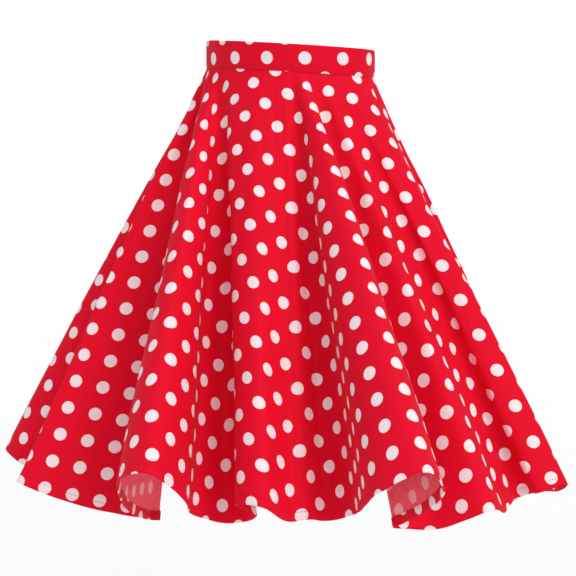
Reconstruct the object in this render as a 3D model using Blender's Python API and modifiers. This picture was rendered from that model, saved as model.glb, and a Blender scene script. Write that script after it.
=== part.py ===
"""Full-circle skirt with a fitted waistband, worn, with a concealed zip at centre back.

Metres, +Z up. The front of the skirt faces -Y and the wearer's left is +X. The origin is the middle of
the waist opening, at half the height of the waistband. Azimuths are degrees in plan from centre front,
growing towards the wearer's left.

The cloth hangs as straight lines from the waist seam to the hem. FOLDS gives one turn of the hem in each
row, crests and troughs by turns, and the rings between waist and hem are worked out from it.
"""
import math

import bmesh
import bpy
import numpy as np
from mathutils import Matrix, Vector

COLLECTION = "full_circle_skirt"
CUTTERS = "cutters"

# Waist of a general figure, at the waist seam
WAIST_HALF_WIDTH = 0.115
WAIST_HALF_DEPTH = 0.0935
WAIST_SLOPE_DEG = 3.6
WAIST_LOW_AZIMUTH = 128.0

# Thicknesses and gaps
CLOTH_WALL = 0.0016
HEM_WALL = 0.0026
HEM_TURN_UP = 0.012
TURN_UP_STEP = 0.2
BAND_WALL = 0.0030
BAND_HEIGHT = 0.035
SEAM_GAP = 0.0003
PANEL_GAP = 0.0005

# Flat cut of the skirt: a full circle
WAIST_CUT_RADIUS = 0.105
SKIRT_LENGTH = 0.585
SIDE_SEAM_CUT_ANGLE = 90.0

# How the cloth leaves the waist, and how far along the hem neighbours share their hang
HANG_BULGE = 0.06
HANG_SHARE = 0.05

# Where centre front comes out on the hem: this far past the tip of the named turn
CENTRE_FRONT_TURN = "crest_3"
CENTRE_FRONT_PAST_TIP = 0.075

# Mesh density
HEM_STEPS_PER_SPAN = 24
FALL_STEPS = 17
CUT_STEP = 0.15
RUN_STEP = 0.004
FRONT_COLUMNS = 100
BACK_COLUMNS = 50
SKIRT_ROWS = 11
ROWS_TOWARDS_WAIST = 1.5
BAND_COLUMNS = 96
WAIST_STEP_DEG = 0.5
WAIST_TURNS = 3
SHARP_ABOVE_DEG = 50.0

# One row for each turn of the hem, going round from the wearer's right to the left and behind.
# azimuth and radius place the tip of the turn, heading is the way that the tip points, and round is the
# radius of the turn. waist_from and waist_to are the stretch of waist that the turn hangs from, as angles
# on the waist ellipse, and slant is the cloth's length from waist seam to hem there.
FOLD_COLUMNS = ("name", "azimuth", "radius", "heading", "round", "waist_from", "waist_to", "slant")
FOLDS = (
    ("crest_1", -61.0, 0.385, -65.0, 0.030, -84.0, -74.0, 0.580),
    ("trough_1", -47.8, 0.271, 118.0, 0.014, -71.0, -67.0, 0.585),
    ("crest_2", -35.9, 0.360, -37.0, 0.016, -64.0, -58.0, 0.590),
    ("trough_2", -17.3, 0.202, 133.0, 0.012, -54.5, -50.5, 0.588),
    ("crest_3", 14.5, 0.4035, 38.0, 0.038, -46.0, -33.0, 0.592),
    ("trough_3", 19.9, 0.2505, 218.0, 0.037, -29.0, -20.0, 0.585),
    ("crest_4", 33.1, 0.353, 38.0, 0.032, -17.0, 27.0, 0.575),
    ("trough_4", 46.6, 0.295, 218.0, 0.028, 31.0, 34.5, 0.565),
    ("crest_5", 55.8, 0.4915, 60.0, 0.042, 37.0, 42.0, 0.589),
    ("trough_5", 59.2, 0.3325, -57.0, 0.012, 44.5, 46.5, 0.580),
    ("crest_6", 74.6, 0.396, 63.0, 0.052, 49.0, 57.0, 0.589),
    ("trough_6", 90.0, 0.349, 243.0, 0.014, 60.0, 64.0, 0.572),
    ("crest_7", 93.6, 0.407, 93.0, 0.028, 68.0, 92.0, 0.574),
    ("trough_7", 112.0, 0.310, 288.0, 0.020, 97.0, 100.0, 0.565),
    ("crest_8", 133.0, 0.348, 133.0, 0.034, 104.0, 112.0, 0.580),
    ("trough_8", 152.0, 0.240, 332.0, 0.022, 116.0, 120.0, 0.585),
    ("crest_9", 165.0, 0.380, 165.0, 0.036, 126.0, 138.0, 0.585),
    ("trough_9", 180.0, 0.245, 0.0, 0.024, 143.0, 149.0, 0.585),
    ("crest_10", 195.0, 0.395, 195.0, 0.036, 155.0, 167.0, 0.588),
    ("trough_10", 209.0, 0.240, 29.0, 0.022, 172.0, 178.0, 0.585),
    ("crest_11", 223.0, 0.370, 223.0, 0.040, 184.0, 196.0, 0.585),
    ("trough_11", 237.0, 0.250, 57.0, 0.023, 201.0, 207.0, 0.585),
    ("crest_12", 251.0, 0.385, 251.0, 0.036, 213.0, 225.0, 0.588),
    ("trough_12", 264.0, 0.240, 84.0, 0.021, 230.0, 236.0, 0.585),
    ("crest_13", 276.0, 0.375, 276.0, 0.034, 242.0, 254.0, 0.585),
    ("trough_13", 286.5, 0.262, 106.5, 0.016, 259.0, 265.0, 0.585),
)

# Concealed zip at centre back
ZIP_TAPE_WIDTH = 0.022
ZIP_TAPE_LENGTH = 0.180
ZIP_TAPE_WALL = 0.0008
ZIP_TAPE_TOP_INSET = 0.003
ZIP_ROWS = 10
ZIP_COLUMNS = 6

# Slider and pull, seen from behind: width, depth away from the band, height
SLIDER_BODY = (0.0050, 0.0020, 0.0080)
SLIDER_LUG = (0.0008, 0.0042, 0.0046)
SLIDER_LUG_SPACING = 0.0038
SLIDER_BEVEL = 0.0003
PIN_RADIUS = 0.0005
PIN_BELOW_BAND_TOP = 0.0050
PIN_OFF_BAND = 0.0035
BODY_BELOW_PIN = 0.0022
PULL_LENGTH = 0.0200
PULL_EYE_RADIUS = 0.0016
PULL_EYE_HOLE = 0.0008
PULL_NECK_HALF_WIDTH = 0.0011
PULL_END_HALF_WIDTH = 0.0028
PULL_WALL = 0.0010
ROUND_SIDES = 20

# Plain finishes: colour, roughness, metallic
FINISHES = {
    "dotted_cotton": ((0.80, 0.012, 0.030, 1.0), 0.75, 0.0),
    "zip_tape_cloth": ((0.55, 0.010, 0.025, 1.0), 0.85, 0.0),
    "painted_metal": ((0.60, 0.012, 0.028, 1.0), 0.35, 0.6),
}


def plan_direction(azimuth):
    """Unit vector in plan at an azimuth from centre front."""
    turn = math.radians(azimuth)
    return np.array([math.sin(turn), -math.cos(turn)])


def hem_control_points():
    """Three points on each turn of the hem, with their waist angle and slant length."""
    points, waist_angles, slants = [], [], []
    for row in FOLDS:
        fold = dict(zip(FOLD_COLUMNS, row))
        tip = plan_direction(fold["azimuth"]) * fold["radius"]
        centre = tip - plan_direction(fold["heading"]) * fold["round"]
        way_round = 1.0 if fold["name"].startswith("crest") else -1.0
        shoulder = plan_direction(fold["heading"] + 90.0) * fold["round"] * way_round
        middle = (fold["waist_from"] + fold["waist_to"]) / 2.0
        points += [centre - shoulder, tip, centre + shoulder]
        waist_angles += [fold["waist_from"], middle, fold["waist_to"]]
        slants += [fold["slant"]] * 3
    return np.array(points), np.array(waist_angles), np.array(slants)


def closed_curve(points, steps):
    """Smooth closed curve through the points: centripetal Catmull-Rom, steps points to a span."""
    count = len(points)
    share = np.linspace(0.0, 1.0, steps, endpoint=False)[:, None]
    curve = []
    for i in range(count):
        before, start, end, after = (points[(i + k) % count] for k in (-1, 0, 1, 2))
        in_step = math.sqrt(np.linalg.norm(start - before))
        step = math.sqrt(np.linalg.norm(end - start))
        out_step = math.sqrt(np.linalg.norm(after - end))
        chord = (end - start) / step
        leave = (start - before) / in_step - (end - before) / (in_step + step) + chord
        arrive = chord - (after - start) / (step + out_step) + (after - end) / out_step
        curve.append(
            start * (1.0 + 2.0 * share) * (1.0 - share) ** 2
            + leave * step * share * (1.0 - share) ** 2
            + end * share**2 * (3.0 - 2.0 * share)
            + arrive * step * share**2 * (share - 1.0)
        )
    return np.concatenate(curve)


def share_with_neighbours(values, window):
    """Moving average round a closed row of values."""
    ends = window // 2
    padded = np.concatenate([values[-ends:], values, values[:ends]])
    return np.convolve(padded, np.ones(2 * ends + 1) / (2 * ends + 1), "valid")


def hang(top, hem, slant, run):
    """Points at a run down lines of cloth, from waist points to places in plan, for given slant lengths."""
    reach = hem - top[..., :2]
    steepness = np.linalg.norm(reach, axis=-1) / slant
    steps = np.linspace(0.0, run, FALL_STEPS)
    share = np.sqrt(1.0 - (steepness[None] * (1.0 + HANG_BULGE * (1.0 - 2.0 * steps[:, None]))) ** 2)
    fall = slant * np.trapz(share, steps, axis=0)
    plan = top[..., :2] + reach * (run + HANG_BULGE * run * (1.0 - run))
    return np.concatenate([plan, (top[..., 2] - fall)[..., None]], axis=-1)


def length_along(points):
    """Length up to each point of a closed row, and the whole length last."""
    steps = np.linalg.norm(np.roll(points, -1, axis=0) - points, axis=1)
    return np.concatenate([[0.0], np.cumsum(steps)])


class HangingCloth:
    """Middle surface of the skirt.

    A point is named by its cut angle, in degrees round the flat circle from centre front, and by its run,
    from 0 at the waist seam to 1 at the hem.
    """

    def __init__(self):
        points, waist_angles, slants = hem_control_points()
        hem = closed_curve(points, HEM_STEPS_PER_SPAN)
        place = length_along(hem)
        total = place[-1]
        controls = place[::HEM_STEPS_PER_SPAN]
        even = np.arange(len(hem)) * total / len(hem)
        window = int(len(hem) * HANG_SHARE / total)
        # Even growth is taken out of the waist angle before the average, so that the row closes
        uneven = np.append(waist_angles, waist_angles[0] + 360.0) - controls / total * 360.0
        waist = even / total * 360.0 + share_with_neighbours(np.interp(even, controls, uneven), window)
        slant = share_with_neighbours(np.interp(even, controls, np.append(slants, slants[0])), window)
        hem = np.stack([np.interp(even, place, np.append(hem[:, k], hem[0, k])) for k in (0, 1)], axis=-1)
        real_place = length_along(hang(waist_point(waist), hem, slant, 1.0))
        self.hem_length = real_place[-1]
        tip = controls[3 * [row[0] for row in FOLDS].index(CENTRE_FRONT_TURN) + 1]
        centre_front = np.interp(tip + CENTRE_FRONT_PAST_TIP, even, real_place[:-1])
        hem_cut = (real_place[:-1] - centre_front) / self.hem_length * 360.0
        # The closed row is laid out over several rounds, so that any cut angle falls inside it
        rounds = range(1 - WAIST_TURNS, WAIST_TURNS)
        self.waist = np.concatenate([waist + turn * 360.0 for turn in rounds])
        self.hem_cut = np.concatenate([hem_cut + turn * 360.0 for turn in rounds])
        self.waist_cut = waist_share(self.waist)
        self.hem = np.tile(hem, (len(rounds), 1))
        self.slant = np.tile(slant, len(rounds))

    def ring(self, run, cut_angles):
        """Points of one ring, at the run and each cut angle."""
        waist_part = WAIST_CUT_RADIUS * (1.0 - run) * np.exp(1j * np.radians(self.waist_cut))
        hem_part = (WAIST_CUT_RADIUS + SKIRT_LENGTH) * run * np.exp(1j * np.radians(self.hem_cut))
        cut = np.degrees(np.unwrap(np.angle(waist_part + hem_part)))
        expected = self.hem_cut[0] * run + self.waist_cut[0] * (1.0 - run)
        cut += 360.0 * round((expected - cut[0]) / 360.0)
        top = waist_point(np.interp(cut_angles, cut, self.waist))
        hem = np.stack([np.interp(cut_angles, cut, self.hem[:, k]) for k in (0, 1)], axis=-1)
        return hang(top, hem, np.interp(cut_angles, cut, self.slant), run)

    def normals(self, run, cut_angles):
        """Outward unit normals of one ring. At the waist seam they lie level."""
        side = self.ring(run, cut_angles + CUT_STEP) - self.ring(run, cut_angles - CUT_STEP)
        if run <= 0.0:
            down = np.zeros_like(side)
            down[..., 2] = -1.0
        else:
            down = self.ring(min(run + RUN_STEP, 1.0), cut_angles) - self.ring(run - RUN_STEP, cut_angles)
        out = np.cross(down, side)
        return out / np.linalg.norm(out, axis=-1, keepdims=True)


def waist_point(waist_angle):
    """Point on the waist seam, which slopes down to one side."""
    turn = np.radians(waist_angle)
    plan = np.stack([WAIST_HALF_WIDTH * np.sin(turn), -WAIST_HALF_DEPTH * np.cos(turn)], axis=-1)
    towards_low_side = plan @ plan_direction(WAIST_LOW_AZIMUTH)
    height = -BAND_HEIGHT / 2.0 - towards_low_side * math.tan(math.radians(WAIST_SLOPE_DEG))
    return np.concatenate([plan, height[..., None]], axis=-1)


def waist_normal(waist_angle):
    """Level outward unit normal of the waist ellipse."""
    turn = np.radians(waist_angle)
    out = np.stack(
        [WAIST_HALF_DEPTH * np.sin(turn), -WAIST_HALF_WIDTH * np.cos(turn), np.zeros_like(turn)], axis=-1
    )
    return out / np.linalg.norm(out, axis=-1, keepdims=True)


def waist_share(waist_angle):
    """Share of the waist's length up to a waist angle, as degrees of a full round."""
    reach = WAIST_TURNS * 360.0
    fine = np.arange(-reach, reach + WAIST_STEP_DEG, WAIST_STEP_DEG)
    steps = np.linalg.norm(np.diff(waist_point(fine)[:, :2], axis=0), axis=1)
    length = np.concatenate([[0.0], np.cumsum(steps)])
    length -= length[len(length) // 2]
    return np.interp(waist_angle, fine, length / length[-1] * reach)


def waist_angle_at(share):
    """Waist angle at a share of the waist's length, given as degrees of a full round."""
    fine = np.arange(-360.0, 720.0, WAIST_STEP_DEG)
    return np.interp(share, waist_share(fine), fine)


def loft_wall(name, outer, inner, finish):
    """Closed wall between two grids of points: rows from top to bottom, columns from right to left."""
    rows, columns = outer.shape[:2]
    mesh = bmesh.new()
    skins = [[[mesh.verts.new(point) for point in row] for row in grid] for grid in (outer, inner)]
    for r in range(rows - 1):
        for c in range(columns - 1):
            for skin, flip in zip(skins, (False, True)):
                corners = (skin[r][c], skin[r + 1][c], skin[r + 1][c + 1], skin[r][c + 1])
                for pick in ((0, 1, 2), (0, 2, 3)):
                    corner = [corners[k] for k in pick]
                    mesh.faces.new(corner[::-1] if flip else corner)
    rim = [(0, c) for c in range(columns)]
    rim += [(r, columns - 1) for r in range(1, rows)]
    rim += [(rows - 1, c) for c in range(columns - 2, -1, -1)]
    rim += [(r, 0) for r in range(rows - 2, 0, -1)]
    for (r, c), (next_r, next_c) in zip(rim, rim[1:] + rim[:1]):
        near, far = skins[0][r][c], skins[0][next_r][next_c]
        near_inside, far_inside = skins[1][r][c], skins[1][next_r][next_c]
        # Both sides of a seam are split along the same diagonal, so that the gap stays even
        if next_r < r:
            mesh.faces.new((near, far, near_inside))
            mesh.faces.new((far, far_inside, near_inside))
        else:
            mesh.faces.new((near, far, far_inside))
            mesh.faces.new((near, far_inside, near_inside))
    mesh.normal_update()
    data = bpy.data.meshes.new(name)
    mesh.to_mesh(data)
    mesh.free()
    return add_object(name, data, finish)


def finish_material(finish):
    """Principled material of a named finish, made once."""
    material = bpy.data.materials.get(finish)
    if material is None:
        colour, roughness, metallic = FINISHES[finish]
        material = bpy.data.materials.new(finish)
        material.use_nodes = True
        shader = material.node_tree.nodes["Principled BSDF"]
        shader.inputs["Base Color"].default_value = colour
        shader.inputs["Roughness"].default_value = roughness
        shader.inputs["Metallic"].default_value = metallic
        material.diffuse_color = colour
    return material


def add_object(name, data, finish, collection=COLLECTION):
    """New object in the model's collection, with its finish."""
    data.materials.clear()
    data.materials.append(finish_material(finish))
    data.shade_smooth()
    data.set_sharp_from_angle(angle=math.radians(SHARP_ABOVE_DEG))
    item = bpy.data.objects.new(name, data)
    bpy.data.collections[collection].objects.link(item)
    return item


def skirt_panel(cloth, name, cut_from, cut_to, columns):
    """One panel of the circle, between two cut angles, with its hem turned up inside."""
    turn_up_run = 1.0 - HEM_TURN_UP / SKIRT_LENGTH
    runs = [turn_up_run * share**ROWS_TOWARDS_WAIST for share in np.linspace(0.0, 1.0, SKIRT_ROWS)]
    runs += [turn_up_run + TURN_UP_STEP * (1.0 - turn_up_run), 1.0]
    outer, inner = [], []
    for run in runs:
        radius = WAIST_CUT_RADIUS + run * SKIRT_LENGTH
        trim = math.degrees(PANEL_GAP / 2.0 / radius)
        angles = np.linspace(cut_from + trim, cut_to - trim, columns + 1)
        middle = cloth.ring(run, angles)
        if run == 0.0:
            middle[:, 2] -= SEAM_GAP
        normal = cloth.normals(run, angles)
        wall = HEM_WALL if run > turn_up_run else CLOTH_WALL
        outer.append(middle + normal * CLOTH_WALL / 2.0)
        inner.append(middle + normal * (CLOTH_WALL / 2.0 - wall))
    return loft_wall(name, np.array(outer), np.array(inner), "dotted_cotton")


def waistband():
    """Band round the waist, open at centre back."""
    perimeter = WAIST_CUT_RADIUS * math.tau
    trim = SEAM_GAP / perimeter * 360.0
    angles = waist_angle_at(np.linspace(-180.0 + trim, 180.0 - trim, BAND_COLUMNS + 1))
    bottom = waist_point(angles)
    top = bottom + np.array([0.0, 0.0, BAND_HEIGHT])
    side = waist_normal(angles) * BAND_WALL / 2.0
    middle = np.array([top, bottom])
    return loft_wall("waistband", middle + side, middle - side, "dotted_cotton")


def zip_tape(cloth):
    """Tape of the closed zip, inside the centre-back seam and the band."""
    outside = -BAND_WALL / 2.0 - SEAM_GAP
    spread = np.linspace(-0.5, 0.5, ZIP_COLUMNS + 1) * ZIP_TAPE_WIDTH
    middle, normal = [], []
    for height in (BAND_HEIGHT - ZIP_TAPE_TOP_INSET, BAND_HEIGHT / 2.0, 0.0):
        angles = waist_angle_at(180.0 + np.degrees(spread / WAIST_CUT_RADIUS))
        middle.append(waist_point(angles) + np.array([0.0, 0.0, height]))
        normal.append(waist_normal(angles))
    for run in np.linspace(0.0, ZIP_TAPE_LENGTH / SKIRT_LENGTH, ZIP_ROWS + 1)[1:]:
        angles = 180.0 + np.degrees(spread / (WAIST_CUT_RADIUS + run * SKIRT_LENGTH))
        middle.append(cloth.ring(run, angles))
        normal.append(cloth.normals(run, angles))
    middle, normal = np.array(middle), np.array(normal)
    return loft_wall(
        "zip_tape", middle + normal * outside, middle + normal * (outside - ZIP_TAPE_WALL), "zip_tape_cloth"
    )


def box(name, size, centre):
    """Plain box as a cutter or a piece to be joined."""
    bpy.ops.mesh.primitive_cube_add(size=1.0, location=centre)
    item = bpy.context.object
    item.name = name
    item.data.transform(Matrix.Diagonal((*size, 1.0)))
    return to_cutters(item)


def rod(name, radius, length, centre, sides=ROUND_SIDES):
    """Cylinder along X."""
    bpy.ops.mesh.primitive_cylinder_add(
        radius=radius, depth=length, vertices=sides, location=centre, rotation=(0.0, math.pi / 2.0, 0.0)
    )
    item = bpy.context.object
    item.name = name
    return to_cutters(item)


def to_cutters(item):
    """Move a helper shape to the cutters' collection, out of the model."""
    for home in list(item.users_collection):
        home.objects.unlink(item)
    bpy.data.collections[CUTTERS].objects.link(item)
    item.hide_render = True
    item.display_type = "WIRE"
    return item


def combine(item, helper, operation):
    """Boolean of a helper shape on an item."""
    step = item.modifiers.new(helper.name, "BOOLEAN")
    step.operation = operation
    step.object = helper
    step.solver = "EXACT"


def centre_back():
    """Top of the band at centre back, on its outer face."""
    place = waist_point(np.array([180.0]))[0]
    return Vector((0.0, WAIST_HALF_DEPTH + BAND_WALL / 2.0, place[2] + BAND_HEIGHT))


def zip_slider():
    """Slider of the closed zip, seated on the outer face of the band, with its pin."""
    pin = centre_back() + Vector((0.0, PIN_OFF_BAND, -PIN_BELOW_BAND_TOP))
    width, depth, height = SLIDER_BODY
    band_face = pin.y - PIN_OFF_BAND + SEAM_GAP
    bpy.ops.mesh.primitive_cube_add(size=1.0)
    body = bpy.context.object
    data = body.data
    bpy.data.objects.remove(body)
    data.transform(Matrix.Diagonal((width, depth, height, 1.0)))
    middle = Vector((0.0, band_face + depth / 2.0, pin.z - BODY_BELOW_PIN - height / 2.0))
    slider = add_object("zip_slider", data, "painted_metal")
    slider.location = middle
    edge = slider.modifiers.new("edges", "BEVEL")
    edge.width = SLIDER_BEVEL
    edge.segments = 2
    for side in (-1.0, 1.0):
        lug_centre = (
            side * SLIDER_LUG_SPACING / 2.0,
            band_face + SLIDER_LUG[1] / 2.0,
            pin.z + PIN_RADIUS * 2.0 - SLIDER_LUG[2] / 2.0,
        )
        lug = box("lug_left" if side < 0 else "lug_right", SLIDER_LUG, lug_centre)
        combine(slider, lug, "UNION")
    combine(slider, rod("pin", PIN_RADIUS, SLIDER_LUG_SPACING, pin), "UNION")
    return slider


def zip_pull():
    """Pull tab that hangs on the slider's pin, a drop shape with an eye."""
    pin = centre_back() + Vector((0.0, PIN_OFF_BAND, -PIN_BELOW_BAND_TOP))
    outline = bpy.data.curves.new("zip_pull_outline", "CURVE")
    outline.dimensions = "2D"
    outline.fill_mode = "BOTH"
    outline.extrude = PULL_WALL / 2.0
    end_centre = -(PULL_LENGTH - PULL_END_HALF_WIDTH)
    round_end = [
        (PULL_END_HALF_WIDTH * math.cos(turn), end_centre + PULL_END_HALF_WIDTH * math.sin(turn))
        for turn in np.linspace(math.pi, math.tau, ROUND_SIDES // 2 + 1)
    ]
    shoulder = PULL_EYE_RADIUS
    top = [(PULL_NECK_HALF_WIDTH, shoulder), (-PULL_NECK_HALF_WIDTH, shoulder)]
    neck = [(-PULL_NECK_HALF_WIDTH, -2.0 * PULL_EYE_RADIUS), (PULL_NECK_HALF_WIDTH, -2.0 * PULL_EYE_RADIUS)]
    points = [top[1], neck[0], *round_end, neck[1], top[0]]
    spline = outline.splines.new("POLY")
    spline.points.add(len(points) - 1)
    for point, (x, y) in zip(spline.points, points):
        point.co = (x, y, 0.0, 1.0)
    spline.use_cyclic_u = True
    flat = bpy.data.objects.new("zip_pull_outline", outline)
    bpy.context.scene.collection.objects.link(flat)
    data = bpy.data.meshes.new_from_object(flat.evaluated_get(bpy.context.evaluated_depsgraph_get()))
    bpy.data.objects.remove(flat)
    mesh = bmesh.new()
    mesh.from_mesh(data)
    bmesh.ops.remove_doubles(mesh, verts=mesh.verts, dist=0.00001)
    mesh.to_mesh(data)
    mesh.free()
    pull = add_object("zip_pull", data, "painted_metal")
    pull.location = pin
    pull.rotation_euler = (math.pi / 2.0, 0.0, 0.0)
    hub = rod("eye_hub", PULL_EYE_RADIUS, 2.0 * PULL_NECK_HALF_WIDTH, pin)
    combine(pull, hub, "UNION")
    combine(pull, rod("eye_hole", PULL_EYE_HOLE, 4.0 * PULL_NECK_HALF_WIDTH, pin), "DIFFERENCE")
    return pull


def main():
    """Clear the scene and build every piece."""
    for item in list(bpy.data.objects):
        bpy.data.objects.remove(item)
    for name in (COLLECTION, CUTTERS):
        bpy.context.scene.collection.children.link(bpy.data.collections.new(name))
    cloth = HangingCloth()
    side = SIDE_SEAM_CUT_ANGLE
    skirt_panel(cloth, "skirt_front", -side, side, FRONT_COLUMNS)
    skirt_panel(cloth, "skirt_back_left", side, 180.0, BACK_COLUMNS)
    skirt_panel(cloth, "skirt_back_right", 180.0, 360.0 - side, BACK_COLUMNS)
    waistband()
    zip_tape(cloth)
    zip_slider()
    zip_pull()


main()
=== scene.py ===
"""Dotted full-circle skirt: the finish of every surface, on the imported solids.

Metres, +Z up. The front of the skirt faces -Y and the wearer's left is +X. The origin is the middle of the
waist opening. The cloth is named by cut angle, in degrees round the flat circle from centre front, and by
run, from 0 at the waist seam to 1 at the hem.
"""
import logging
import math
from dataclasses import dataclass, field
from enum import Enum
from itertools import cycle
from typing import Iterable, Optional, Union

import bmesh
import bpy
import numpy as np
from mathutils import Euler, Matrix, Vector, noise


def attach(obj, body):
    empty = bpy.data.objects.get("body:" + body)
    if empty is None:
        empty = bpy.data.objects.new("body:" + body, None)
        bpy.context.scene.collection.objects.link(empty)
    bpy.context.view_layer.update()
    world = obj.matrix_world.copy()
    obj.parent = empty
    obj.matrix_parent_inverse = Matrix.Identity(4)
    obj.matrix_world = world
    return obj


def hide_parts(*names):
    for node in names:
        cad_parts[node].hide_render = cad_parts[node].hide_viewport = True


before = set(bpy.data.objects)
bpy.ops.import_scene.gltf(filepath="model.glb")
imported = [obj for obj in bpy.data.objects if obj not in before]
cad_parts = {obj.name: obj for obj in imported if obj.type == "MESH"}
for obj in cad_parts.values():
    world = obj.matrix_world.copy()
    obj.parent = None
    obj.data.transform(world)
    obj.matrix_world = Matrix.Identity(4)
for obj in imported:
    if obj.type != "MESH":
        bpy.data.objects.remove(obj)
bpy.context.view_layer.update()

log = logging.getLogger("skirt")

Points = np.ndarray
Socket = bpy.types.NodeSocket
Value = Union[float, Socket]
Colour = tuple[float, float, float, float]
Inputs = dict[str, object]

UV_LAYER = "flat_cut"
SKIRT_BODY = "skirt"
WELD_DISTANCE = 0.000002

# Flat cut of the skirt, and how it is sewn
WAIST_CUT_RADIUS = 0.105
SKIRT_LENGTH = 0.585
BAND_HEIGHT = 0.035
SIDE_SEAM_CUT_ANGLE = 90.0
CLOTH_THICKNESS = 0.0009
OUTER_OFFSET = 0.0008
HEM_TURN_UP = 0.012
HEM_STITCH_HEIGHT = 0.0102


class Turn(Enum):
    """Which way the cloth turns at a fold of the hem."""

    CREST = 1.0
    TROUGH = -1.0


class Side(Enum):
    """A face of the cloth."""

    OUTSIDE = 0
    INSIDE = 1


@dataclass(frozen=True)
class Fold:
    """One turn of the hem, and the stretch of waist that it hangs from.

    Azimuths and headings are degrees in plan from centre front, growing towards the wearer's left.
    """

    turn: Turn
    azimuth: float
    radius: float
    heading: float
    bend: float
    waist_from: float
    waist_to: float
    slant: float

    def hem_points(self) -> list[Points]:
        """Three points in plan: the two shoulders of the turn, with its tip between them.

        Returns:
            The points, in order round the hem.
        """
        tip = plan_direction(self.azimuth) * self.radius
        centre = tip - plan_direction(self.heading) * self.bend
        shoulder = plan_direction(self.heading + 90.0) * self.bend * self.turn.value
        return [centre - shoulder, tip, centre + shoulder]


# Round the hem from the wearer's right to the left and behind, by turns a crest and a trough. Columns:
# azimuth, radius and heading of the tip, radius of the bend, waist angles from and to, slant length
FOLDS = tuple(
    Fold(turn, *row)
    for turn, row in zip(
        cycle(Turn),
        (
            (-61.0, 0.385, -65.0, 0.030, -84.0, -74.0, 0.580),
            (-47.8, 0.271, 118.0, 0.014, -71.0, -67.0, 0.585),
            (-35.9, 0.360, -37.0, 0.016, -64.0, -58.0, 0.590),
            (-17.3, 0.202, 133.0, 0.012, -54.5, -50.5, 0.588),
            (14.5, 0.4035, 38.0, 0.038, -46.0, -33.0, 0.592),
            (19.9, 0.2505, 218.0, 0.037, -29.0, -20.0, 0.585),
            (33.1, 0.353, 38.0, 0.032, -17.0, 27.0, 0.575),
            (46.6, 0.295, 218.0, 0.028, 31.0, 34.5, 0.565),
            (55.8, 0.4915, 60.0, 0.042, 37.0, 42.0, 0.589),
            (59.2, 0.3325, -57.0, 0.012, 44.5, 46.5, 0.580),
            (74.6, 0.396, 63.0, 0.052, 49.0, 57.0, 0.589),
            (90.0, 0.349, 243.0, 0.014, 60.0, 64.0, 0.572),
            (93.6, 0.407, 93.0, 0.028, 68.0, 92.0, 0.574),
            (112.0, 0.310, 288.0, 0.020, 97.0, 100.0, 0.565),
            (133.0, 0.348, 133.0, 0.034, 104.0, 112.0, 0.580),
            (152.0, 0.240, 332.0, 0.022, 116.0, 120.0, 0.585),
            (165.0, 0.380, 165.0, 0.036, 126.0, 138.0, 0.585),
            (180.0, 0.245, 0.0, 0.024, 143.0, 149.0, 0.585),
            (195.0, 0.395, 195.0, 0.036, 155.0, 167.0, 0.588),
            (209.0, 0.240, 29.0, 0.022, 172.0, 178.0, 0.585),
            (223.0, 0.370, 223.0, 0.040, 184.0, 196.0, 0.585),
            (237.0, 0.250, 57.0, 0.023, 201.0, 207.0, 0.585),
            (251.0, 0.385, 251.0, 0.036, 213.0, 225.0, 0.588),
            (264.0, 0.240, 84.0, 0.021, 230.0, 236.0, 0.585),
            (276.0, 0.375, 276.0, 0.034, 242.0, 254.0, 0.585),
            (286.5, 0.262, 106.5, 0.016, 259.0, 265.0, 0.585),
        ),
    )
)
CENTRE_FRONT_FOLD = 4
CENTRE_FRONT_PAST_TIP = 0.075


def plan_direction(azimuth: float) -> Points:
    """Unit vector in plan at an azimuth from centre front."""
    turn = math.radians(azimuth)
    return np.array([math.sin(turn), -math.cos(turn)])


def unit(vectors: Points) -> Points:
    """The vectors, each at length 1."""
    return vectors / np.linalg.norm(vectors, axis=-1, keepdims=True)


def closed_curve(points: Points, steps: int) -> Points:
    """Smooth closed curve through points: centripetal Catmull-Rom.

    Args:
        points: The points to pass through, one in each row.
        steps: How many points the curve has for each of them.

    Returns:
        The points of the curve.
    """
    count = len(points)
    share = np.linspace(0.0, 1.0, steps, endpoint=False)[:, None]
    curve = []
    for i in range(count):
        before, start, end, after = (points[(i + k) % count] for k in (-1, 0, 1, 2))
        in_step = math.sqrt(np.linalg.norm(start - before))
        step = math.sqrt(np.linalg.norm(end - start))
        out_step = math.sqrt(np.linalg.norm(after - end))
        chord = (end - start) / step
        leave = (start - before) / in_step - (end - before) / (in_step + step) + chord
        arrive = chord - (after - start) / (step + out_step) + (after - end) / out_step
        curve.append(
            start * (1.0 + 2.0 * share) * (1.0 - share) ** 2
            + leave * step * share * (1.0 - share) ** 2
            + end * share**2 * (3.0 - 2.0 * share)
            + arrive * step * share**2 * (share - 1.0)
        )
    return np.concatenate(curve)


def share_with_neighbours(values: Points, window: int) -> Points:
    """Moving average round a closed row of values.

    Args:
        values: One value for each place of the row.
        window: How many places share their values.

    Returns:
        The averaged values.
    """
    ends = window // 2
    padded = np.concatenate([values[-ends:], values, values[:ends]])
    return np.convolve(padded, np.ones(2 * ends + 1) / (2 * ends + 1), "valid")


def length_along(points: Points) -> Points:
    """Length up to each point of a closed row, and the whole length last."""
    steps = np.linalg.norm(np.roll(points, -1, axis=0) - points, axis=1)
    return np.concatenate([[0.0], np.cumsum(steps)])


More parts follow.
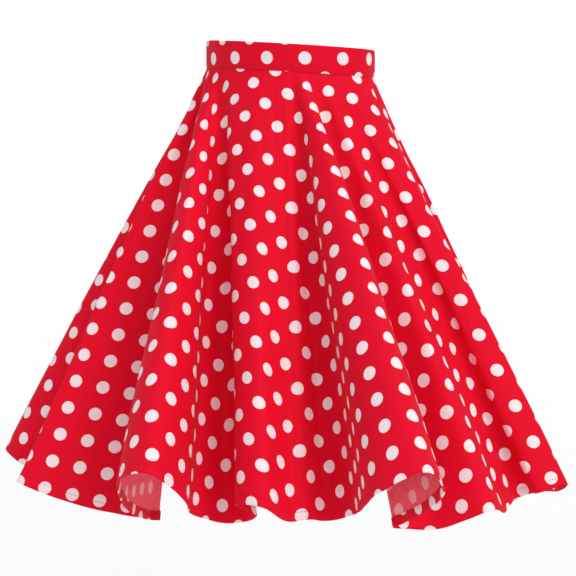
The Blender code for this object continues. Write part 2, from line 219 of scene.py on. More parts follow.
@dataclass(frozen=True)
class WaistLine:
    """The waist seam: an ellipse in plan that slopes down towards one side."""

    half_width: float = 0.115
    half_depth: float = 0.0935
    slope_deg: float = 3.6
    low_azimuth: float = 128.0
    step_deg: float = 0.5
    turns: int = 3

    def point(self, waist_angle: Points) -> Points:
        """Points on the seam at angles of the ellipse.

        Args:
            waist_angle: Angles of the ellipse, in degrees.

        Returns:
            The points, one in each row.
        """
        turn = np.radians(waist_angle)
        plan = np.stack([self.half_width * np.sin(turn), -self.half_depth * np.cos(turn)], axis=-1)
        drop = plan @ plan_direction(self.low_azimuth) * math.tan(math.radians(self.slope_deg))
        return np.concatenate([plan, (-BAND_HEIGHT / 2.0 - drop)[..., None]], axis=-1)

    def normal(self, waist_angle: Points) -> Points:
        """Level outward unit normals of the ellipse.

        Args:
            waist_angle: Angles of the ellipse, in degrees.

        Returns:
            The normals, one in each row.
        """
        turn = np.radians(waist_angle)
        out = [self.half_depth * np.sin(turn), -self.half_width * np.cos(turn), np.zeros_like(turn)]
        return unit(np.stack(out, axis=-1))

    def share(self, waist_angle: Points) -> Points:
        """Share of the seam's length up to an angle, as degrees of a full round.

        Args:
            waist_angle: Angles of the ellipse, in degrees.

        Returns:
            The shares, one for each angle.
        """
        reach = self.turns * 360.0
        fine = np.arange(-reach, reach + self.step_deg, self.step_deg)
        steps = np.linalg.norm(np.diff(self.point(fine)[:, :2], axis=0), axis=1)
        length = np.concatenate([[0.0], np.cumsum(steps)])
        length -= length[len(length) // 2]
        return np.interp(waist_angle, fine, length / length[-1] * reach)

    def angle_at(self, share: Points) -> Points:
        """Angle of the ellipse at a share of the seam's length, given as degrees of a full round."""
        fine = np.arange(-360.0, 720.0, self.step_deg)
        return np.interp(share, self.share(fine), fine)


@dataclass(frozen=True)
class Crease:
    """A soft ridge or trough down the cloth, with its ends faded out. Lengths are in metres."""

    cut: float
    start: float
    end: float
    half_width: float
    height: float
    drift_deg: float

    def rise(self, from_waist: float, cut_angles: Points) -> Points:
        """How far the cloth stands out at a distance below the waist seam.

        Args:
            from_waist: Distance of the row below the waist seam.
            cut_angles: Cut angle of each place.

        Returns:
            The rise at each place, in metres.
        """
        share = (from_waist - self.start) / (self.end - self.start)
        if not 0.0 < share < 1.0:
            return np.zeros(len(cut_angles))
        off = (cut_angles - self.cut - self.drift_deg * share + 180.0) % 360.0 - 180.0
        across = np.radians(off) * (WAIST_CUT_RADIUS + from_waist) / self.half_width
        return self.height * math.sin(math.pi * math.sqrt(share)) * np.exp(-(across**2))


# Columns: cut angle, start and end below the waist seam, half width, height, drift in degrees
CREASES = tuple(
    Crease(*row)
    for row in (
        (-71.0, 0.002, 0.085, 0.0050, -0.0009, 2.0),
        (-57.0, 0.001, 0.130, 0.0060, 0.0010, -3.0),
        (-41.0, 0.220, 0.480, 0.0130, 0.0014, 2.5),
        (-31.0, 0.002, 0.070, 0.0045, -0.0008, 1.0),
        (-16.0, 0.001, 0.110, 0.0055, -0.0010, -2.0),
        (-5.0, 0.170, 0.400, 0.0120, -0.0012, 3.0),
        (8.0, 0.002, 0.060, 0.0045, 0.0008, 1.5),
        (21.0, 0.001, 0.150, 0.0060, -0.0012, 4.0),
        (33.0, 0.090, 0.300, 0.0090, 0.0012, -2.0),
        (52.0, 0.002, 0.090, 0.0050, -0.0010, 2.0),
        (66.0, 0.280, 0.520, 0.0150, -0.0013, -2.0),
        (79.0, 0.001, 0.120, 0.0055, 0.0009, 3.0),
        (104.0, 0.002, 0.095, 0.0050, -0.0010, -2.5),
        (127.0, 0.150, 0.390, 0.0120, 0.0013, 3.0),
        (148.0, 0.001, 0.075, 0.0050, -0.0009, 1.5),
        (166.0, 0.240, 0.470, 0.0130, -0.0011, -2.0),
        (194.0, 0.002, 0.105, 0.0055, 0.0010, 2.5),
        (215.0, 0.130, 0.340, 0.0110, -0.0013, -3.0),
        (233.0, 0.001, 0.080, 0.0050, -0.0009, 1.0),
        (252.0, 0.002, 0.140, 0.0060, 0.0011, -3.0),
    )
)


class Layer(Enum):
    """Where each kind of unevenness is read from the noise, far from the others."""

    WAVE = 0.0
    RIPPLE = 5.0
    PUCKER = 11.0
    ROPE = 17.0
    DROP = 23.0


@dataclass(frozen=True)
class Relief:
    """The small unevenness of real cloth on the folds: soft waves, creases, drag lines and a roped hem.

    Widths round the circle are in degrees of cut angle, so that what they make joins up all round.
    """

    wave: float = 0.0015
    wave_deg: float = 7.0
    wave_along: float = 0.22
    wave_start: float = 0.06
    ripple: float = 0.00045
    ripple_deg: float = 2.2
    ripple_along: float = 0.10
    pucker: float = 0.0006
    pucker_deg: float = 4.9
    pucker_along: float = 0.12
    pucker_start: float = 0.004
    pucker_fade: float = 0.035
    rope: float = 0.0005
    rope_deg: float = 1.35
    rope_lean: float = 0.02
    rope_reach: float = 0.016
    rope_level: float = 0.3
    drop_depth: float = 0.0006
    drop_deg: float = 2.5
    drop_reach: float = 0.03
    seed: float = 7.3

    def height(self, run: float, cut_angles: Points) -> Points:
        """How far the cloth stands out of its smooth form, in metres.

        Args:
            run: Run of the row, from 0 to 1.
            cut_angles: Cut angle of each place.

        Returns:
            The height at each place.
        """
        from_waist = run * SKIRT_LENGTH
        from_hem = SKIRT_LENGTH - from_waist
        waves = self.row(cut_angles, self.wave_deg, from_waist / self.wave_along, Layer.WAVE)
        ripples = self.row(cut_angles, self.ripple_deg, from_waist / self.ripple_along, Layer.RIPPLE)
        total = min(from_waist / self.wave_start, 1.0) * (self.wave * waves + self.ripple * ripples)
        near_waist = math.exp(-from_waist / self.pucker_fade) * min(from_waist / self.pucker_start, 1.0)
        puckers = self.row(cut_angles, self.pucker_deg, from_waist / self.pucker_along, Layer.PUCKER)
        total += self.pucker * near_waist * puckers
        twisted = cut_angles + from_hem / self.rope_lean * self.rope_deg
        near_hem = math.exp(-((from_hem / self.rope_reach) ** 2))
        total += self.rope * near_hem * self.row(twisted, self.rope_deg, self.rope_level, Layer.ROPE)
        for crease in CREASES:
            total += crease.rise(from_waist, cut_angles)
        return total

    def drop(self, run: float, cut_angles: Points) -> Points:
        """How far the hem hangs below its even line, in metres along the cloth."""
        near_hem = math.exp(-((SKIRT_LENGTH * (1.0 - run) / self.drop_reach) ** 2))
        return self.drop_depth * near_hem * self.row(cut_angles, self.drop_deg, 0.0, Layer.DROP)

    def row(self, cut_angles: Points, width_deg: float, along: float, layer: Layer) -> Points:
        """Smooth noise, about -1 to 1, along a row of places that joins up round the circle.

        Args:
            cut_angles: Cut angle of each place.
            width_deg: Width of one wave, in degrees of cut angle.
            along: Place down the cloth, counted in waves.
            layer: The kind of unevenness.

        Returns:
            The noise at each place.
        """
        turns = np.radians(cut_angles)
        circle = math.degrees(1.0) / width_deg
        level = along + self.seed + layer.value
        places = zip((circle * np.cos(turns)).tolist(), (circle * np.sin(turns)).tolist())
        return np.array([2.0 * noise.noise((x, y, level)) for x, y in places])


@dataclass
class HangingCloth:
    """Middle surface of the skirt, worked out from its folds as the solids are."""

    waist: WaistLine = field(default_factory=WaistLine)
    relief: Relief = field(default_factory=Relief)
    steps_per_span: int = 24
    fall_steps: int = 17
    bulge: float = 0.06
    sharing: float = 0.05
    cut_by_run: dict[float, Points] = field(default_factory=dict)

    def __post_init__(self) -> None:
        """Work out where each line of cloth leaves the waist and where it ends at the hem."""
        hem = closed_curve(np.array([p for fold in FOLDS for p in fold.hem_points()]), self.steps_per_span)
        angles = [a for f in FOLDS for a in (f.waist_from, (f.waist_from + f.waist_to) / 2.0, f.waist_to)]
        slants = [fold.slant for fold in FOLDS for _ in range(3)]
        place = length_along(hem)
        total = place[-1]
        controls = place[:: self.steps_per_span]
        even = np.arange(len(hem)) * total / len(hem)
        window = int(len(hem) * self.sharing / total)
        uneven = np.array(angles + [angles[0] + 360.0]) - controls / total * 360.0
        waist = even / total * 360.0 + share_with_neighbours(np.interp(even, controls, uneven), window)
        slant = share_with_neighbours(np.interp(even, controls, slants + slants[:1]), window)
        hem = np.stack([np.interp(even, place, np.append(hem[:, k], hem[0, k])) for k in (0, 1)], axis=-1)
        real = length_along(self.hang(self.waist.point(waist), hem, slant, 1.0))
        self.hem_length = real[-1]
        front_place = controls[3 * CENTRE_FRONT_FOLD + 1] + CENTRE_FRONT_PAST_TIP
        centre_front = np.interp(front_place, even, real[:-1])
        hem_cut = (real[:-1] - centre_front) / self.hem_length * 360.0
        rounds = range(1 - self.waist.turns, self.waist.turns)
        self.waist_angle = np.concatenate([waist + turn * 360.0 for turn in rounds])
        self.hem_cut = np.concatenate([hem_cut + turn * 360.0 for turn in rounds])
        self.waist_cut = self.waist.share(self.waist_angle)
        self.hem = np.tile(hem, (len(rounds), 1))
        self.slant = np.tile(slant, len(rounds))

    def hang(self, top: Points, hem: Points, slant: Points, run: float) -> Points:
        """Points at one run down lines of cloth.

        Args:
            top: Where each line leaves the waist.
            hem: Where it ends, in plan.
            slant: How long it is.
            run: The share of it to go down.

        Returns:
            One point on each line.
        """
        reach = hem - top[..., :2]
        steepness = np.linalg.norm(reach, axis=-1) / slant
        steps = np.linspace(0.0, run, self.fall_steps)
        lean = steepness[None] * (1.0 + self.bulge * (1.0 - 2.0 * steps[:, None]))
        fall = slant * np.trapz(np.sqrt(1.0 - lean**2), steps, axis=0)
        plan = top[..., :2] + reach * (run + self.bulge * run * (1.0 - run))
        return np.concatenate([plan, (top[..., 2] - fall)[..., None]], axis=-1)

    def cut_of_lines(self, run: float) -> Points:
        """Cut angle of each line of cloth at a run.

        Args:
            run: Run of the row, from 0 to 1.

        Returns:
            The cut angles, which are kept for the next call.
        """
        if run not in self.cut_by_run:
            waist_part = WAIST_CUT_RADIUS * (1.0 - run) * np.exp(1j * np.radians(self.waist_cut))
            hem_part = (WAIST_CUT_RADIUS + SKIRT_LENGTH) * run * np.exp(1j * np.radians(self.hem_cut))
            cut = np.degrees(np.unwrap(np.angle(waist_part + hem_part)))
            expected = self.hem_cut[0] * run + self.waist_cut[0] * (1.0 - run)
            self.cut_by_run[run] = cut + 360.0 * round((expected - cut[0]) / 360.0)
        return self.cut_by_run[run]

    def ring(self, run: float, cut_angles: Points) -> Points:
        """Points of one ring, at a run and each cut angle.

        Args:
            run: Run of the row, from 0 to 1.
            cut_angles: Cut angle of each place.

        Returns:
            The points, one in each row.
        """
        cut = self.cut_of_lines(run)
        top = self.waist.point(np.interp(cut_angles, cut, self.waist_angle))
        hem = np.stack([np.interp(cut_angles, cut, self.hem[:, k]) for k in (0, 1)], axis=-1)
        return self.hang(top, hem, np.interp(cut_angles, cut, self.slant), run)

    def along(self, run: float, cut_angles: Points, run_step: float = 0.004) -> Points:
        """Unit vectors down the cloth. At the waist seam they point straight down.

        Args:
            run: Run of the row, from 0 to 1.
            cut_angles: Cut angle of each place.
            run_step: How far up and down the cloth the points are compared.

        Returns:
            The vectors, one in each row.
        """
        if run <= 0.0:
            return np.tile([0.0, 0.0, -1.0], (len(cut_angles), 1))
        low, high = min(run + run_step, 1.0), max(run - run_step, 0.0)
        return unit(self.ring(low, cut_angles) - self.ring(high, cut_angles))

    def normals(self, run: float, cut_angles: Points, cut_step: float = 0.15) -> Points:
        """Outward unit normals of one ring. At the waist seam they lie level."""
        side = self.ring(run, cut_angles + cut_step) - self.ring(run, cut_angles - cut_step)
        return unit(np.cross(self.along(run, cut_angles), side))

    def surface(self, run: float, cut_angles: Points, offset: Points) -> Points:
        """One ring of points on the real cloth, with its unevenness, at an offset from the middle.

        Args:
            run: Run of the row, from 0 to 1.
            cut_angles: Cut angle of each place.
            offset: How far each point stands out, in metres.

        Returns:
            The points, one in each row.
        """
        out = self.normals(run, cut_angles) * (offset + self.relief.height(run, cut_angles))[:, None]
        sag = self.along(run, cut_angles) * self.relief.drop(run, cut_angles)[:, None]
        return self.ring(run, cut_angles) + out + sag


@dataclass
class MeshSketch:
    """Points, faces and flat-cut coordinates of a mesh that is being made."""

    name: str
    points: list[Points] = field(default_factory=list)
    flat: list[Points] = field(default_factory=list)
    faces: list[Points] = field(default_factory=list)
    sides: list[Points] = field(default_factory=list)
    count: int = 0

    def patch(self, places: Points, flat: Points, side: Side, closed: bool = False) -> None:
        """Add grids of points with faces between their rows and columns.

        Args:
            places: Positions, as rows by columns by 3, or as several such grids.
            flat: Flat-cut coordinates, shaped as the positions but by 2.
            side: The face of the cloth that the grids show.
            closed: True if the last column joins the first.
        """
        grids = places.reshape(-1, *places.shape[-3:])
        number, rows, columns = grids.shape[:3]
        index = np.arange(number * rows * columns).reshape(number, rows, columns) + self.count
        beyond = np.roll(index, -1, axis=2)
        if not closed:
            index, beyond = index[:, :, :-1], beyond[:, :, :-1]
        corners = [index[:, :-1], index[:, 1:], beyond[:, 1:], beyond[:, :-1]]
        quads = np.stack(corners, axis=-1).reshape(-1, 4)
        self.points.append(grids.reshape(-1, 3))
        self.flat.append(flat.reshape(-1, 2))
        self.faces.append(quads)
        self.sides.append(np.full(len(quads), side.value))
        self.count += number * rows * columns

    def build(self, *materials: bpy.types.Material) -> bpy.types.Object:
        """Make the object, smooth shaded, with one material for each side.

        Args:
            materials: One material for each side, in the order of Side.

        Returns:
            The object, linked to the scene.
        """
        data = bpy.data.meshes.new(self.name)
        data.from_pydata(np.concatenate(self.points).tolist(), [], np.concatenate(self.faces).tolist())
        for material in materials:
            data.materials.append(material)
        data.polygons.foreach_set("material_index", np.concatenate(self.sides).astype(np.int32))
        corners = np.zeros(len(data.loops), dtype=np.int32)
        data.loops.foreach_get("vertex_index", corners)
        layer = data.uv_layers.new(name=UV_LAYER)
        layer.data.foreach_set("uv", np.concatenate(self.flat)[corners].ravel().astype(np.float32))
        data.shade_smooth()
        self.weld(data)
        item = bpy.data.objects.new(self.name, data)
        bpy.context.scene.collection.objects.link(item)
        return item

    def weld(self, data: bpy.types.Mesh) -> None:
        """Join the points where patches meet.

        Args:
            data: The mesh to join up.
        """
        mesh = bmesh.new()
        mesh.from_mesh(data)
        bmesh.ops.remove_doubles(mesh, verts=mesh.verts, dist=WELD_DISTANCE)
        mesh.to_mesh(data)
        mesh.free()


@dataclass
class NodeSketch:
    """Adds nodes to one node tree and joins them."""

    tree: bpy.types.NodeTree

    def add(self, kind: str, inputs: Optional[Inputs] = None, **settings: object) -> bpy.types.Node:
        """Add a node, set its properties, and set or join its inputs.

        Args:
            kind: The kind of node.
            inputs: What to set or join each named input to.
            settings: Values of the node's own properties.

        Returns:
            The node.
        """
        node = self.tree.nodes.new(kind)
        for name, value in settings.items():
            setattr(node, name, value)
        self.dress(node, inputs or {})
        return node

    def dress(self, node: bpy.types.Node, inputs: Inputs) -> None:
        """Set or join the named inputs of a node."""
        for name, value in inputs.items():
            self.feed(node.inputs[name], value)

    def feed(self, target: Socket, value: object) -> None:
        """Join a socket to an input, or set the input's own value.

        Args:
            target: The input.
            value: The socket or the value.
        """
        if isinstance(value, bpy.types.NodeSocket):
            self.tree.links.new(value, target)
        else:
            target.default_value = value

    def calc(self, operation: str, first: Value, second: Value = 0.0) -> Socket:
        """Result of a math node.

        Args:
            operation: The kind of sum.
            first: Its first value.
            second: Its second value, if it takes one.

        Returns:
            The result.
        """
        node = self.add("ShaderNodeMath", operation=operation)
        self.feed(node.inputs[0], first)
        self.feed(node.inputs[1], second)
        return node.outputs[0]

    def wave(self, value: Value, turns: Value) -> Socket:
        """Sine of a value times a factor."""
        return self.calc("SINE", self.calc("MULTIPLY", value, turns))

    def vector(self, operation: str, first: object, second: object = (0.0, 0.0, 0.0)) -> bpy.types.Node:
        """A vector math node.

        Args:
            operation: The kind of sum.
            first: Its first vector.
            second: Its second vector, if it takes one.

        Returns:
            The node.
        """
        node = self.add("ShaderNodeVectorMath", operation=operation)
        self.feed(node.inputs[0], first)
        self.feed(node.inputs[1], second)
        return node

    def blend(self, share: Value, first: object, second: object, how: str = "MIX") -> Socket:
        """Mix of two colours.

        Args:
            share: Share of the second colour.
            first: The first colour.
            second: The second colour.
            how: The way to mix them.

        Returns:
            The mixed colour.
        """
        node = self.add("ShaderNodeMix", data_type="RGBA", blend_type=how)
        colours = [plug for plug in node.inputs if plug.type == "RGBA"]
        self.feed(node.inputs["Factor"], share)
        self.feed(colours[0], first)
        self.feed(colours[1], second)
        return next(plug for plug in node.outputs if plug.type == "RGBA")

    def remap(self, value: Socket, low: float, high: float, to_low: float, to_high: float) -> Socket:
        """Value moved from one range to another, with a soft start and end.

        Args:
            value: The value to move.
            low: Where its range starts.
            high: Where its range ends.
            to_low: The result where the range starts.
            to_high: The result where the range ends.

        Returns:
            The moved value.
        """
        limits = {"From Min": low, "From Max": high, "To Min": to_low, "To Max": to_high}
        node = self.add("ShaderNodeMapRange", {"Value": value, **limits}, interpolation_type="SMOOTHSTEP")
        return node.outputs["Result"]

    def speckle(self, place: object, scale: float, detail: float = 2.0) -> Socket:
        """Noise between 0 and 1."""
        node = self.add("ShaderNodeTexNoise", {"Vector": place, "Scale": scale, "Detail": detail})
        return node.outputs["Fac"]

    def stretched(self, place: object, across: float, along: float) -> Socket:
        """Coordinates scaled by one factor along U and another along V."""
        return self.vector("MULTIPLY", place, (across, along, 1.0)).outputs[0]

    def bump(
        self, height: Socket, strength: float, distance: float, under: Optional[Socket] = None
    ) -> Socket:
        """Normal of a bumpy surface, over another normal if one is given.

        Args:
            height: Height of the bumps, 0 to 1.
            strength: How strongly they show.
            distance: How high they stand, in metres.
            under: The normal that they lie on.

        Returns:
            The normal.
        """
        node = self.add("ShaderNodeBump", {"Height": height, "Strength": strength, "Distance": distance})
        if under is not None:
            self.feed(node.inputs["Normal"], under)
        return node.outputs[0]

    def crumple(self, place: object, under: Socket) -> Socket:
        """Normal of softly crumpled cloth, over the normal of its threads."""
        height = self.speckle(place, scale=34.0, detail=4.0)
        return self.bump(height, strength=0.25, distance=0.0010, under=under)

    def flat_cut(self) -> Socket:
        """The cloth's flat-cut coordinates, in metres."""
        return self.add("ShaderNodeUVMap", uv_map=UV_LAYER).outputs["UV"]

    def own_place(self) -> Socket:
        """The object's own coordinates, in metres."""
        return self.add("ShaderNodeTexCoord").outputs["Object"]

    def darkened(self, colour: object, share: Socket) -> Socket:
        """A colour, multiplied by a share from 0 to 1."""
        grey = self.add("ShaderNodeCombineColor", {plug: share for plug in ("Red", "Green", "Blue")})
        return self.blend(1.0, colour, grey.outputs[0], "MULTIPLY")


@dataclass(frozen=True)
class Finish:
    """A surface finish made of nodes."""

    name: str

    def material(self) -> bpy.types.Material:
        """Build the node material.

        Returns:
            The material.
        """
        material = bpy.data.materials.new(self.name)
        material.use_nodes = True
        sketch = NodeSketch(material.node_tree)
        sketch.dress(material.node_tree.nodes["Principled BSDF"], self.inputs(sketch))
        return material

    def inputs(self, sketch: NodeSketch) -> Inputs:
        """What the shader's inputs are set or joined to."""
        raise NotImplementedError


@dataclass(frozen=True)
class Weave:
    """Threads that cross at a fine pitch, with slubs along them."""

    pitch: float = 0.00045
    twill: bool = False
    slub_scale: float = 1300.0
    slub_draw: float = 0.06

    def height(self, sketch: NodeSketch, flat: Socket) -> Socket:
        """Height of the threads, 0 to 1.

        Args:
            sketch: The material's nodes.
            flat: The flat-cut coordinates.

        Returns:
            The height.
        """
        parts = sketch.add("ShaderNodeSeparateXYZ", {"Vector": flat})
        turns = math.pi / self.pitch
        if self.twill:
            diagonal = sketch.calc("ADD", parts.outputs[0], parts.outputs[1])
            return sketch.calc("ABSOLUTE", sketch.wave(diagonal, turns))
        warp, weft = (sketch.wave(parts.outputs[k], turns) for k in (0, 1))
        crossing = sketch.calc("MULTIPLY", warp, weft)
        return sketch.calc("ADD", sketch.calc("MULTIPLY", crossing, 0.5), 0.5)

    def slubs(self, sketch: NodeSketch, flat: Socket) -> Socket:
        """Uneven threads both ways, 0 to 1.

        Args:
            sketch: The material's nodes.
            flat: The flat-cut coordinates.

        Returns:
            How thick the threads are at each place.
        """
        warp = sketch.speckle(sketch.stretched(flat, 1.0, self.slub_draw), self.slub_scale)
        weft = sketch.speckle(sketch.stretched(flat, self.slub_draw, 1.0), self.slub_scale)
        return sketch.calc("MULTIPLY", sketch.calc("ADD", warp, weft), 0.5)


@dataclass(frozen=True)
class DotPrint:
    """Round dots with a slightly ragged edge, on a square lattice turned from the grain."""

    spacing: float
    turn_deg: float
    shift: tuple[float, float]
    radius: float = 0.0080
    edge: float = 0.00025
    ragged_scale: float = 1100.0
    ragged_depth: float = 0.012

    def cover(self, sketch: NodeSketch, flat: Socket) -> Socket:
        """1 on a dot and 0 between dots.

        Args:
            sketch: The material's nodes.
            flat: The flat-cut coordinates.

        Returns:
            The cover.
        """
        turn = Euler((0.0, 0.0, math.radians(self.turn_deg)))
        lay = {"Vector": flat, "Rotation": turn, "Location": (*self.shift, 0.0)}
        laid = sketch.add("ShaderNodeMapping", lay)
        cells = sketch.vector("DIVIDE", laid.outputs[0], (self.spacing, self.spacing, 1.0))
        cell = sketch.vector("FRACTION", cells.outputs[0])
        from_middle = sketch.vector("SUBTRACT", cell.outputs[0], (0.5, 0.5, 0.0))
        distance = sketch.vector("LENGTH", from_middle.outputs[0]).outputs["Value"]
        speckle = sketch.calc("SUBTRACT", sketch.speckle(flat, self.ragged_scale), 0.5)
        ragged = sketch.calc("MULTIPLY", speckle, self.ragged_depth)
        near, far = ((self.radius + way * self.edge) / self.spacing for way in (-1.0, 1.0))
        return sketch.remap(sketch.calc("ADD", distance, ragged), near, far, 1.0, 0.0)


SKIRT_DOTS = DotPrint(spacing=0.0350, turn_deg=38.0, shift=(0.0294, 0.0305))
BAND_DOTS = DotPrint(spacing=0.0345, turn_deg=42.4, shift=(0.0043, 0.0150))


@dataclass(frozen=True)
class DottedCotton(Finish):
    """The right side of the cloth: firm red cotton, printed with white dots, tinted pink partly by their
    own print and partly by painted red bounce light.
    """

    dots: DotPrint
    red: Colour = (0.80, 0.0022, 0.0250, 1.0)
    deep_red: Colour = (0.71, 0.0014, 0.0200, 1.0)
    # white is tinted pink, the same on every dot: partly the print's own tint on red cloth, partly painted
    # red light bounced from the folds
    white: Colour = (0.93, 0.79, 0.81, 1.0)
    weave: Weave = Weave()
    patch_share: float = 0.5
    slub_share: float = 0.45
    groove_shade: float = 0.92
    groove_roughness: float = 0.78
    thread_roughness: float = 0.66
    sheen_tint: Colour = (1.0, 0.5, 0.5, 1.0)

    def inputs(self, sketch: NodeSketch) -> Inputs:
        """What the shader's inputs are set or joined to.

        Args:
            sketch: The material's nodes.

        Returns:
            The name of each input, with its value or the socket to join it to.
        """
        flat = sketch.flat_cut()
        threads = self.weave.height(sketch, flat)
        slubs = self.weave.slubs(sketch, flat)
        patches = sketch.remap(sketch.speckle(flat, 9.0, 3.0), 0.3, 0.7, 0.0, self.patch_share)
        ground = sketch.blend(patches, self.red, self.deep_red)
        ground = sketch.blend(sketch.remap(slubs, 0.45, 0.65, 0.0, self.slub_share), ground, self.deep_red)
        # the dots take the pink-tinted white, which is partly painted red bounce light
        printed = sketch.blend(self.dots.cover(sketch, flat), ground, self.white)
        shade = sketch.remap(threads, 0.0, 1.0, self.groove_shade, 1.0)
        fine = sketch.bump(threads, strength=0.35, distance=0.00012)
        slubbed = sketch.bump(slubs, strength=0.3, distance=0.0002, under=fine)
        return {
            "Base Color": sketch.darkened(printed, shade),
            "Roughness": sketch.remap(threads, 0.0, 1.0, self.groove_roughness, self.thread_roughness),
            "Specular IOR Level": 0.10,
            "Sheen Weight": 0.02,
            "Sheen Roughness": 0.5,
            "Sheen Tint": self.sheen_tint,
            "Normal": sketch.crumple(flat, slubbed),
        }


@dataclass(frozen=True)
class CottonInside(Finish):
    """The wrong side of the cloth: paler, partly its own colour and partly painted light shining through
    the thin cloth, with the print showing through and a diagonal weave.
    """

    name: str = "dotted_cotton_inside"
    dots: DotPrint = SKIRT_DOTS
    # ground, thread and ghost are pale and bright: partly the wrong side's own colour, partly painted light
    # shining through the thin cloth
    ground: Colour = (0.93, 0.040, 0.080, 1.0)
    thread: Colour = (0.95, 0.200, 0.250, 1.0)
    ghost: Colour = (0.93, 0.560, 0.580, 1.0)
    weave: Weave = Weave(pitch=0.0007, twill=True)
    slub_share: float = 0.8
    # how much paler the raised twill threads are painted than the grooves: painted shade of the weave
    twill_ridge_highlight_share: float = 0.35
    ghost_share: float = 0.75

    def inputs(self, sketch: NodeSketch) -> Inputs:
        """What the shader's inputs are set or joined to.

        Args:
            sketch: The material's nodes.

        Returns:
            The name of each input, with its value or the socket to join it to.
        """
        flat = sketch.flat_cut()
        threads = self.weave.height(sketch, flat)
        slubs = self.weave.slubs(sketch, flat)
        pale_slubs = sketch.remap(slubs, 0.4, 0.62, 0.0, self.slub_share)
        # painted shade of the twill: the raised threads are painted paler than the grooves between them
        twill_ridge_highlight = sketch.remap(threads, 0.2, 1.0, 0.0, self.twill_ridge_highlight_share)
        ground = sketch.blend(pale_slubs, self.ground, self.thread)
        ground = sketch.blend(twill_ridge_highlight, ground, self.thread)
        through = sketch.calc("MULTIPLY", self.dots.cover(sketch, flat), self.ghost_share)
        return {
            "Base Color": sketch.blend(through, ground, self.ghost),
            "Roughness": 0.85,
            "Specular IOR Level": 0.2,
            "Normal": sketch.crumple(flat, sketch.bump(threads, strength=0.4, distance=0.00015)),
        }


@dataclass(frozen=True)
class SewingThread(Finish):
    """Twisted thread, a little darker than the cloth."""

    name: str = "red_thread"
    colour: Colour = (0.36, 0.004, 0.014, 1.0)
    light: Colour = (0.60, 0.020, 0.045, 1.0)

    def inputs(self, sketch: NodeSketch) -> Inputs:
        """What the shader's inputs are set or joined to.

        Args:
            sketch: The material's nodes.

        Returns:
            The name of each input, with its value or the socket to join it to.
        """
        twist = sketch.speckle(sketch.own_place(), scale=2600.0, detail=1.0)
        return {
            "Base Color": sketch.blend(twist, self.colour, self.light),
            "Roughness": 0.55,
            "Normal": sketch.bump(twist, strength=0.5, distance=0.0001),
        }


@dataclass(frozen=True)
class TapeCloth(Finish):
    """Tightly woven zip tape with a fine rib along it."""

    name: str = "zip_tape_weave"
    colour: Colour = (0.55, 0.010, 0.025, 1.0)
    # painted shade: the colour of the grooves between the ribs, darker than the rib tops
    rib_groove_shade: Colour = (0.36, 0.005, 0.014, 1.0)
    rib: float = 0.0009
    cross_rib: float = 0.00054
    cross_share: float = 0.3

    def inputs(self, sketch: NodeSketch) -> Inputs:
        """What the shader's inputs are set or joined to.

        Args:
            sketch: The material's nodes.

        Returns:
            The name of each input, with its value or the socket to join it to.
        """
        parts = sketch.add("ShaderNodeSeparateXYZ", {"Vector": sketch.own_place()})
        rib = sketch.calc("ABSOLUTE", sketch.wave(parts.outputs[0], math.pi / self.rib))
        cross = sketch.calc("ABSOLUTE", sketch.wave(parts.outputs[2], math.pi / self.cross_rib))
        weft = sketch.calc("MULTIPLY", cross, self.cross_share)
        height = sketch.calc("MULTIPLY", rib, sketch.calc("ADD", weft, 1.0 - self.cross_share))
        # the colour follows the rib height: painted shade in the grooves, full colour on the ribs
        return {
            "Base Color": sketch.blend(height, self.rib_groove_shade, self.colour),
            "Roughness": 0.8,
            "Normal": sketch.bump(height, strength=0.6, distance=0.0002),
        }


@dataclass(frozen=True)
class CoilPlastic(Finish):
    """Moulded red nylon of the zip's coil."""

    name: str = "red_nylon"
    colour: Colour = (0.56, 0.010, 0.026, 1.0)
    worn: Colour = (0.66, 0.060, 0.080, 1.0)

    def inputs(self, sketch: NodeSketch) -> Inputs:
        """What the shader's inputs are set or joined to.

        Args:
            sketch: The material's nodes.

        Returns:
            The name of each input, with its value or the socket to join it to.
        """
        mottle = sketch.speckle(sketch.own_place(), scale=900.0)
        return {
            "Base Color": sketch.blend(mottle, self.colour, self.worn),
            "Roughness": sketch.remap(mottle, 0.3, 0.7, 0.32, 0.48),
            "Normal": sketch.bump(mottle, strength=0.2, distance=0.00005),
        }


@dataclass(frozen=True)
class EnamelledMetal(Finish):
    """Die-cast metal under red enamel, rubbed thinner on its sharp edges."""

    name: str = "red_enamel"
    enamel: Colour = (0.60, 0.012, 0.028, 1.0)
    bare: Colour = (0.62, 0.50, 0.48, 1.0)
    wear_from: float = 0.56
    wear_to: float = 0.70
    wear_share: float = 0.6

    def inputs(self, sketch: NodeSketch) -> Inputs:
        """What the shader's inputs are set or joined to.

        Args:
            sketch: The material's nodes.

        Returns:
            The name of each input, with its value or the socket to join it to.
        """
        place = sketch.own_place()
        edges = sketch.add("ShaderNodeNewGeometry").outputs["Pointiness"]
        worn = sketch.remap(edges, self.wear_from, self.wear_to, 0.0, self.wear_share)
        rubbed = sketch.calc("MULTIPLY", worn, sketch.speckle(place, scale=900.0))
        grain = sketch.speckle(place, scale=2400.0, detail=3.0)
        return {
            "Base Color": sketch.blend(rubbed, self.enamel, self.bare),
            "Roughness": sketch.remap(grain, 0.3, 0.7, 0.24, 0.40),
            "Metallic": 0.55,
            "Coat Weight": 0.5,
            "Normal": sketch.bump(grain, strength=0.15, distance=0.00005),
        }


